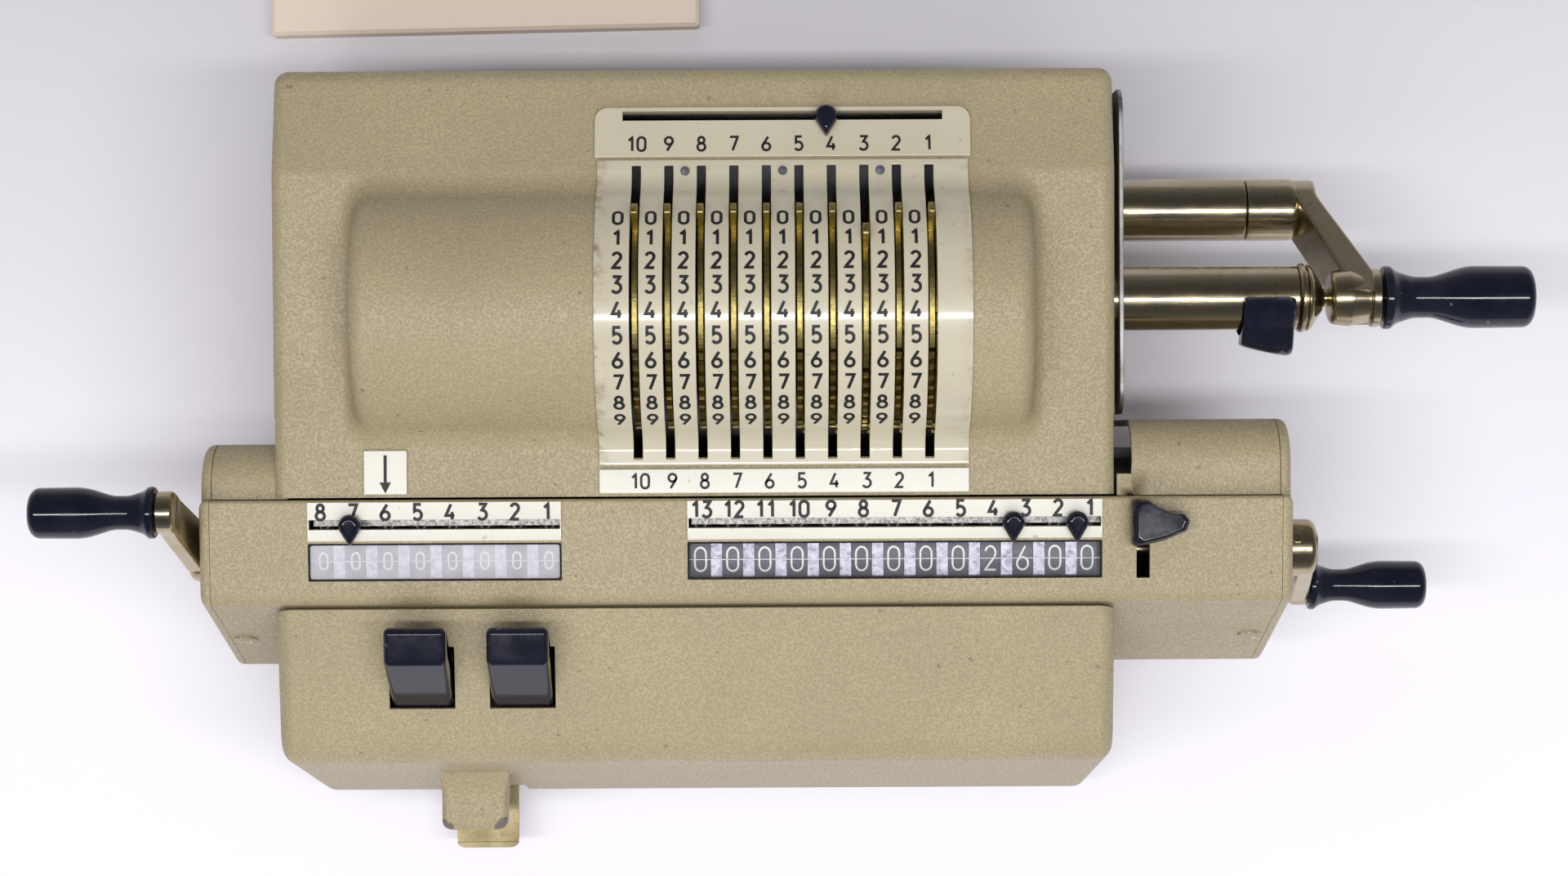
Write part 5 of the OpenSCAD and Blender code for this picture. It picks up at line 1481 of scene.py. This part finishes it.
class CALCULATOR_OT_screws(bpy.types.Operator):
    """Two domed screws square to the carriage's steep face, each with a slot."""

    bl_idname = "calculator.screws"
    bl_label = "Cover screws"

    def execute(self, context):
        low, high = span("cover_screws")
        up = unit(COVER_EDGE - COVER_FOOT)
        out = left_of(up)
        centre = COVER_EDGE - up * 31.5
        head_r, slot_half, slot_floor = 3.0, 0.45, 0.3
        levels = ((0.0, -1.0), (1.0, -1.0), (1.0, 0.3), (0.94, 0.6), (0.8, 0.8), (0.55, 0.95), (0.3, 1.03),
                  (0.12, 1.05), (0.0, 1.05))
        shapes = []
        for x, turn in ((low[0] + head_r, 0.25), (high[0] - head_r, 0.9)):
            rows = []
            for share, lift in levels:
                p, q = disc((0, 0), head_r * share, full_turn(60)).T
                in_slot = (np.abs(p * math.sin(turn) - q * math.cos(turn)) < slot_half) & (lift > slot_floor)
                height = np.where(in_slot, slot_floor, lift)
                rows.append(np.column_stack([x + p, centre[0] + up[0] * q + out[0] * height,
                                             centre[1] + up[1] * q + out[1] * height]))
            shapes.append(loft(rows))
        piece("cover_screw_pair", combine(*shapes), "painted_screw", "carriage", ["cover_screws"], smooth=30)
        return {"FINISHED"}


class CALCULATOR_OT_registers(bpy.types.Operator):
    """Number strips, windows, spacers between the dials, and the index wires."""

    bl_idname = "calculator.registers"
    bl_label = "Registers"

    def execute(self, context):
        start, end = WINDOW_START + 0.1, WINDOW_START + WINDOW_D - 0.1
        track_y = on_slope(TRACK_START)[0]
        front_y, rear_y = slope_y(start, end)
        dial_top = DIAL_Z + DIAL_R
        for name, ((left, right), places) in REGISTERS.items():
            result = name == "result"
            stations = [left, left + STRIP_MARGIN, right - STRIP_MARGIN, right]
            cuts = (WINDOW_START - 0.6, TRACK_START + TRACK_HALF_W, TRACK_START - TRACK_HALF_W, 0.5)

            def hole(x, y, z):
                return between(x, stations[1:3]) and abs(y - track_y) < 0.6

            strip = grid(swept(stations, [on_slope(d, STRIP_T) for d in cuts]), hole)
            sheet(f"{name}_strip", strip, "white_enamel", "carriage", ["register_strips"] if result else [],
                  wall=STRIP_T - 0.05, bevel=0.15, segments=2, angle=50)
            pane = [on_slope(d, lift) for d, lift in ((end, -1.1), (start, -1.1), (start, -0.3), (end, -0.3))]
            piece(f"{name}_window", loft(swept((left + 0.1, right - 0.1), pane)), f"{name}_glass", "carriage",
                  ["register_windows"] if result else [], bevel=0.15, segments=2)
            # A dark rubber rim round each window is painted shade along the window's edge
            shade_rim = []
            for inwards, lift in ((0.05, -0.9), (0.05, -0.25), (0.3, -0.05), (0.5, -0.25), (0.5, -0.9)):
                low, high = -end - 0.1 + inwards, -start + 0.1 - inwards
                ring = rounded(rectangle(left + inwards, low, right - inwards, high), [0.6] * 4, closed=True,
                               steps=3)
                shade_rim.append(np.array([[x, *on_slope(-d, lift)] for x, d in ring]))
            piece(f"{name}_gasket", loft(shade_rim, looped=True), "foot_rubber", "carriage")
            # A guide bar runs under each pointer slot
            guide = block((left + 0.9, track_y - 0.5, 80.2), (right + 0.3, track_y + 1.9, 81.3))
            piece(f"{name}_guide_bar", guide, "guide_metal", "carriage", bevel=0.15, segments=2)
            # Spacers stand between the dials, one pitch apart
            half = (PITCH - DIAL_W) / 2 + 0.1
            first = places[0] - PITCH / 2
            if first - half < left:
                first += PITCH
            count = 1 + int((right - half - first) // PITCH)
            z = dial_top + 0.35
            spacer = [[front_y, z - 2.2], [rear_y, z - 1.4], [rear_y, z + 0.4], [front_y, z - 0.4]]
            shape = loft(swept((first - half, first + half), spacer))
            piece(f"{name}_spacers", shape, "spacer_metal", "carriage", row=(count, PITCH), bevel=0.15,
                  segments=2)
            profile = [(0.02, left + 0.4), (0.11, left + 0.4), (0.11, right - 0.4), (0.02, right - 0.4)]
            wire = turned(profile, (DIAL_Y - 1.75, dial_top + 1.0), 10)
            piece(f"{name}_index_wire", wire, "white_print", "carriage", slot="frame_steel")
        return {"FINISHED"}


def dial_shapes(x, shown, height):
    """A dial's drum with its star wheel, and its ten white digits."""
    axis = (DIAL_Y, DIAL_Z)
    left, right = x - DIAL_W / 2, x + DIAL_W / 2
    r = DIAL_R - 0.06
    drum = lathe([[DIAL_BORE, left], [r - 2.2, left], [r, left], [r, right], [r - 2.2, right],
                  [DIAL_BORE, right]], [0, 0, 0.3, 0.3, 0, 0], axis, 90, looped=True)
    angles = full_turn(80)
    star_r = 8.2 + 0.6 * np.cos(10 * angles)
    start, end = right - 0.2, right + 1.2
    levels = [(DIAL_BORE, start), (star_r, start), (star_r, end), (DIAL_BORE, end)]
    star = loft([placed(disc(axis, radius, angles), 0, at) for radius, at in levels], looped=True)
    digits = [on_drum(lettering(d, height, 0.52, 0.86), x, 8.0 + (d - shown) * 36, r, axis, sink=0.1)
              for d in range(10)]
    return combine(drum, star), combine(*digits)


class CALCULATOR_OT_dials(bpy.types.Operator):
    """Number dials of both registers; the result shows a small sum."""

    bl_idname = "calculator.dials"
    bl_label = "Number dials"

    def execute(self, context):
        shown = {3: 6, 4: 2}
        for i, x in enumerate(RESULT_X, 1):
            drum, digits = dial_shapes(x, shown.get(i, 0), size("dial_digit"))
            piece(f"result_drum_{i}", drum, "dial_plastic", f"dial_{i}", [f"result_dial_{i}"])
            piece(f"result_digits_{i}", digits, "white_print", f"dial_{i}", smooth=20)
        drum, digits = dial_shapes(COUNTER_X[0], 0, size("dial_digit") * 0.7)
        row = (len(COUNTER_X), PITCH)
        piece("counter_drums", drum, "dial_plastic", "counter", ["counter_dials"], row)
        piece("counter_digits", digits, "white_print", "counter", [], row)
        return {"FINISHED"}


# Small levers, keys and pointers

def domed(outline, height, edge, base=0.0):
    """An outline with a domed top."""
    centre = outline.mean(axis=0)
    levels = [(0.97, base), (1.0, base + 0.25)]
    levels += [(1 - (1 - math.cos(a)) * edge, base + height * (0.45 + 0.55 * math.sin(a))) for a in QUARTER]
    return loft([placed(centre + (outline - centre) * share, 2, z) for share, z in levels])


class CALCULATOR_OT_pointers(bpy.types.Operator):
    """Four drop-shaped pointers that slide in their slots."""

    bl_idname = "calculator.pointers"
    bl_label = "Pointers"

    def execute(self, context):
        r, reach = 2.8, 4.9
        side = math.acos(r / reach)
        angles = np.linspace(-math.pi / 2 + side, 3 * math.pi / 2 - side, 22)
        point = [[-0.45, -reach + 0.35], [0, -reach], [0.45, -reach + 0.35]]
        outline = np.vstack([disc((0, 0), r, angles), point])
        y = SETTING_TRACK_Y - 0.7
        on_deck = ((y, KNEE_Z + REAR_SLOPE * (y - KNEE_Y)), -REAR_FALL, 1.25)
        on_cover = (on_slope(TRACK_START), COVER_FALL, STRIP_T + 0.35)
        for node, (rest, tilt, base) in (
                ("setting_pointer", on_deck), ("counter_pointer", on_cover),
                ("result_pointer_left", on_cover), ("result_pointer_right", on_cover)):
            low, high = span(node)
            stem = block((-1.2, -0.9, -3.0), (1.2, 0.7, base + 0.5))
            drop = combine(domed(outline, 3.35, 0.55, base), stem)
            shape = tilted(drop, ((low[0] + high[0]) / 2, *rest), tilt)
            piece(node + "_drop", shape, "navy_plastic", body_of(node), [node], smooth=50)
        return {"FINISHED"}


class CALCULATOR_OT_transfer(bpy.types.Operator):
    """Navy wedge of the transfer lever on its stem."""

    bl_idname = "calculator.transfer"
    bl_label = "Transfer lever"

    def execute(self, context):
        low, high = span("transfer_lever")
        x = 110.85
        rest = high[2] - 6.5
        outline = rounded([[-3.55, -6.2], [4.5, -4.2], [10.1, -1.9], [11.1, 0.7], [9.8, 2.5], [6.2, 2.9],
                           [2.9, 4.4], [0.3, 6.1], [-3.55, 6.1]],
                          [1.6, 3, 1.2, 1.0, 1.2, 4, 3, 1.0, 1.6], closed=True, steps=5)
        head = tilted(domed(outline, 6.45, 0.26), (x, high[1] - 6.2, rest))
        stem = block((x - 1.4, -22.5, low[2]), (x + 1.4, -17.5, rest + 1))
        piece("transfer_wedge", combine(head, stem), "navy_plastic", "transfer", ["transfer_lever"],
              smooth=50)
        return {"FINISHED"}


class CALCULATOR_OT_keys(bpy.types.Operator):
    """Two navy shift keys with a flat top and a sloping front."""

    bl_idname = "calculator.keys"
    bl_label = "Shift keys"

    def execute(self, context):
        edge = 1.5
        rear_y, slot_y = APRON_REAR_Y - 3.55, APRON_REAR_Y - 10.0
        fall = (APRON_CORNER[1] - APRON_DECK_Z) / (APRON_REAR_Y - APRON_CORNER[0])
        for name in ("left", "right"):
            (left, front_y, foot), (right, _, high) = span(f"shift_key_{name}")
            top = high + 0.09
            front_z = APRON_DECK_Z + fall * (APRON_REAR_Y - front_y) - 0.3
            profile = rounded([[rear_y, top], [rear_y - 9.2, top - 0.6], [front_y, front_z], [front_y, foot],
                               [slot_y, foot], [slot_y, 89.6], [rear_y - 0.5, 92]],
                              [1.6, 1.7, 2.2, 0.02, 0.02, 0.5, 0.8], closed=True)
            levels = [(edge * (1 - math.cos(a)), inset(profile, edge * (1 - math.sin(a)))) for a in QUARTER]
            rows = [placed(ring, 0, left + way) for way, ring in levels]
            rows += [placed(ring, 0, right - way) for way, ring in levels[::-1]]
            piece(f"key_{name}_cap", loft(rows), "navy_plastic", f"key_{name}", [f"shift_key_{name}"],
                  smooth=50)
        return {"FINISHED"}


# Frame, feet and what lies inside

class CALCULATOR_OT_frame(bpy.types.Operator):
    """Base plate, feet, frame plates, rails, carriage frame and release lever."""

    bl_idname = "calculator.frame_parts"
    bl_label = "Frame and feet"

    def execute(self, context):
        base = eased("base_plate", "dull_steel", 0.5)
        # Its front corners stay inside the apron's rounded ones
        for vertex in base.data.vertices:
            x, y, z = vertex.co
            if abs(x) > 0.1005 and y < -0.0895:
                vertex.co = (x - math.copysign(SHEET * MM, x), y + SHEET * MM, z)
        eased("rubber_feet", "foot_rubber", 0.9, segments=4)
        eased("side_frames", "side_plate", 0.3)
        eased("carriage_rails", "dull_steel", 0.5)
        eased("carriage_frame", "dull_steel", 0.3)
        front = (span("release_lever")[0][1] + 1) * MM

        def round_corners(work):
            corners = [e for e in work.edges if all(v.co.y < front for v in e.verts)
                       and abs(e.verts[0].co.x - e.verts[1].co.x) < 1e-5]
            bmesh.ops.bevel(work, geom=corners, offset=2.4 * MM, segments=5, profile=0.5, affect="EDGES")

        lever = copied("release_lever", "release_lever_plated")
        worked(lever, round_corners)
        finish(lever, "release_metal", "release", ["release_lever"], closed=False, bevel=0.3, segments=2,
               angle=50)
        return {"FINISHED"}


# Stage

def stand_in(name, shape, material):
    obj = mesh_object(name, shape)
    obj.data.materials.append(material)


def make_floor():
    foot_z = span("rubber_feet")[0][2]
    reach = 3000.0
    material, shader, where = new_material("pale_floor", roughness=0.7)
    tone = colours().floor
    place = add(where.id_data, "ShaderNodeSeparateXYZ", {"Vector": where}).outputs
    # Painted shadow and shade: the floor is darker towards the rear, behind the machine, and more so on the left
    side = scaled(scaled(place["X"], 0.22, -0.16), 0, 1, 0.8, 0.95)
    shade = maths("MULTIPLY", scaled(place["Y"], -0.05, 0.15), side)
    feed(shader, {"Base Color": mixed(shade, tone, tinted(tone, 0.66))})
    corners = rectangle(-reach, -reach, reach, reach)
    stand_in("floor", (placed(corners, 2, foot_z), [(0, 1, 2, 3)]), material)
    # A cream shelf stands behind the machine
    edge = rounded([[-118.0, 113.0], [-0.5, 115.0], [-0.5, 420.0], [-118.0, 420.0]], [1] * 4, closed=True)
    cream, shader, _ = new_material("cream_shelf", roughness=0.6)
    feed(shader, {"Base Color": srgb(222, 206, 190)})
    rows = [placed(inset(edge, inwards), 2, foot_z + z) for z, inwards in ((0, 0), (7, 0), (8, 1.0))]
    stand_in("shelf", loft(rows), cream)


def make_world():
    """An even grey sky that is paler near the horizon."""
    world = bpy.data.worlds.new("studio")
    bpy.context.scene.world = world
    world.use_nodes = True
    tree = world.node_tree
    tree.nodes.clear()
    up = add(tree, "ShaderNodeSeparateXYZ", {"Vector": add(tree, "ShaderNodeTexCoord").outputs["Generated"]})
    ramp = add(tree, "ShaderNodeValToRGB", {"Fac": up.outputs["Z"]})
    stops = [(0.0, 0.36), (0.2, 0.24), (0.45, 0.16), (0.72, 0.11), (0.9, 0.08), (1.0, 0.10)]
    while len(ramp.color_ramp.elements) < len(stops):
        ramp.color_ramp.elements.new(0.5)
    for element, (at, level) in zip(ramp.color_ramp.elements, stops):
        element.position = at
        element.color = (level, level * 0.99, level * 1.03, 1)
    mirrored = add(tree, "ShaderNodeLightPath").outputs["Is Glossy Ray"]
    sky = add(tree, "ShaderNodeBackground", {"Color": ramp.outputs["Color"],
                                             "Strength": scaled(mirrored, 0, 1, 1.55, 0.8)})
    add(tree, "ShaderNodeOutputWorld", {"Surface": sky.outputs["Background"]})


def area_lamp(name, place, target, width, depth, power, mirrored=False):
    """A soft rectangular lamp; its place and target are in metres."""
    lamp = bpy.data.lights.new(name, "AREA")
    lamp.shape = "RECTANGLE"
    lamp.size, lamp.size_y, lamp.energy = width, depth, power
    obj = linked(name, lamp)
    obj.location = place
    obj.rotation_euler = (Vector(target) - Vector(place)).to_track_quat("-Z", "Y").to_euler()
    obj.visible_glossy = mirrored


def make_camera():
    """The camera looks straight down; its place comes from how the pitch shrinks with depth."""
    camera = bpy.data.cameras.new("camera")
    camera.lens, camera.sensor_width, camera.clip_start = 71.7, 36.0, 0.01
    obj = linked("camera", camera)
    obj.location = (0.0222, 0.00175, 0.856)
    obj.rotation_euler = (0, 0, math.radians(-0.3))
    bpy.context.scene.camera = obj


class CALCULATOR_OT_stage(bpy.types.Operator):
    """Pale floor, soft lamps and the camera straight above."""

    bl_idname = "calculator.stage"
    bl_label = "Stage"

    def execute(self, context):
        make_floor()
        make_world()
        area_lamp("ceiling_strip", (0.02, -0.18, 1.9), (0.02, 0, 0), 2.6, 0.12, 23.0, mirrored=True)
        area_lamp("ceiling_soft", (0.02, -0.25, 1.15), (0, 0, 0), 1.1, 0.8, 3.5)
        area_lamp("front_soft", (0.1, -1.2, 1.2), (0, 0, 0), 1.6, 0.9, 11.5)
        area_lamp("rear_soft", (-0.2, 1.1, 1.3), (0, 0, 0), 1.4, 0.8, 3.0)
        make_camera()
        context.scene.view_settings.view_transform = "Standard"
        return {"FINISHED"}


class CALCULATOR_PT_pieces(bpy.types.Panel):
    """Lists the pieces of the calculator."""

    bl_idname = "CALCULATOR_PT_pieces"
    bl_label = "Calculator"
    bl_space_type = "VIEW_3D"
    bl_region_type = "UI"
    bl_category = "Calculator"

    def draw(self, context):
        for name in ("calculator_colours", "calculator_sizes"):
            settings = getattr(context.scene, name)
            box = self.layout.box()
            for key in settings.__annotations__:
                box.prop(settings, key)
        for operator in OPERATORS:
            self.layout.operator(operator.bl_idname)


OPERATORS = (
    CALCULATOR_OT_casing, CALCULATOR_OT_apron, CALCULATOR_OT_panel, CALCULATOR_OT_plates,
    CALCULATOR_OT_print, CALCULATOR_OT_studs, CALCULATOR_OT_levers, CALCULATOR_OT_drum, CALCULATOR_OT_tubes,
    CALCULATOR_OT_crank, CALCULATOR_OT_handles, CALCULATOR_OT_clear_lever, CALCULATOR_OT_wing_cranks,
    CALCULATOR_OT_carriage_cover, CALCULATOR_OT_rear_covers, CALCULATOR_OT_screws, CALCULATOR_OT_registers,
    CALCULATOR_OT_dials, CALCULATOR_OT_pointers, CALCULATOR_OT_transfer, CALCULATOR_OT_keys,
    CALCULATOR_OT_frame, CALCULATOR_OT_stage,
)
CLASSES = (CalculatorColours, CalculatorSizes, *OPERATORS, CALCULATOR_PT_pieces)


def register():
    for one in CLASSES:
        bpy.utils.register_class(one)
    bpy.types.Scene.calculator_colours = bpy.props.PointerProperty(type=CalculatorColours)
    bpy.types.Scene.calculator_sizes = bpy.props.PointerProperty(type=CalculatorSizes)


def unregister():
    del bpy.types.Scene.calculator_sizes
    del bpy.types.Scene.calculator_colours
    for one in reversed(CLASSES):
        bpy.utils.unregister_class(one)


def main():
    register()
    for operator in OPERATORS:
        getattr(bpy.ops.calculator, operator.bl_idname.split(".")[1])()


if __name__ == "__main__":
    main()
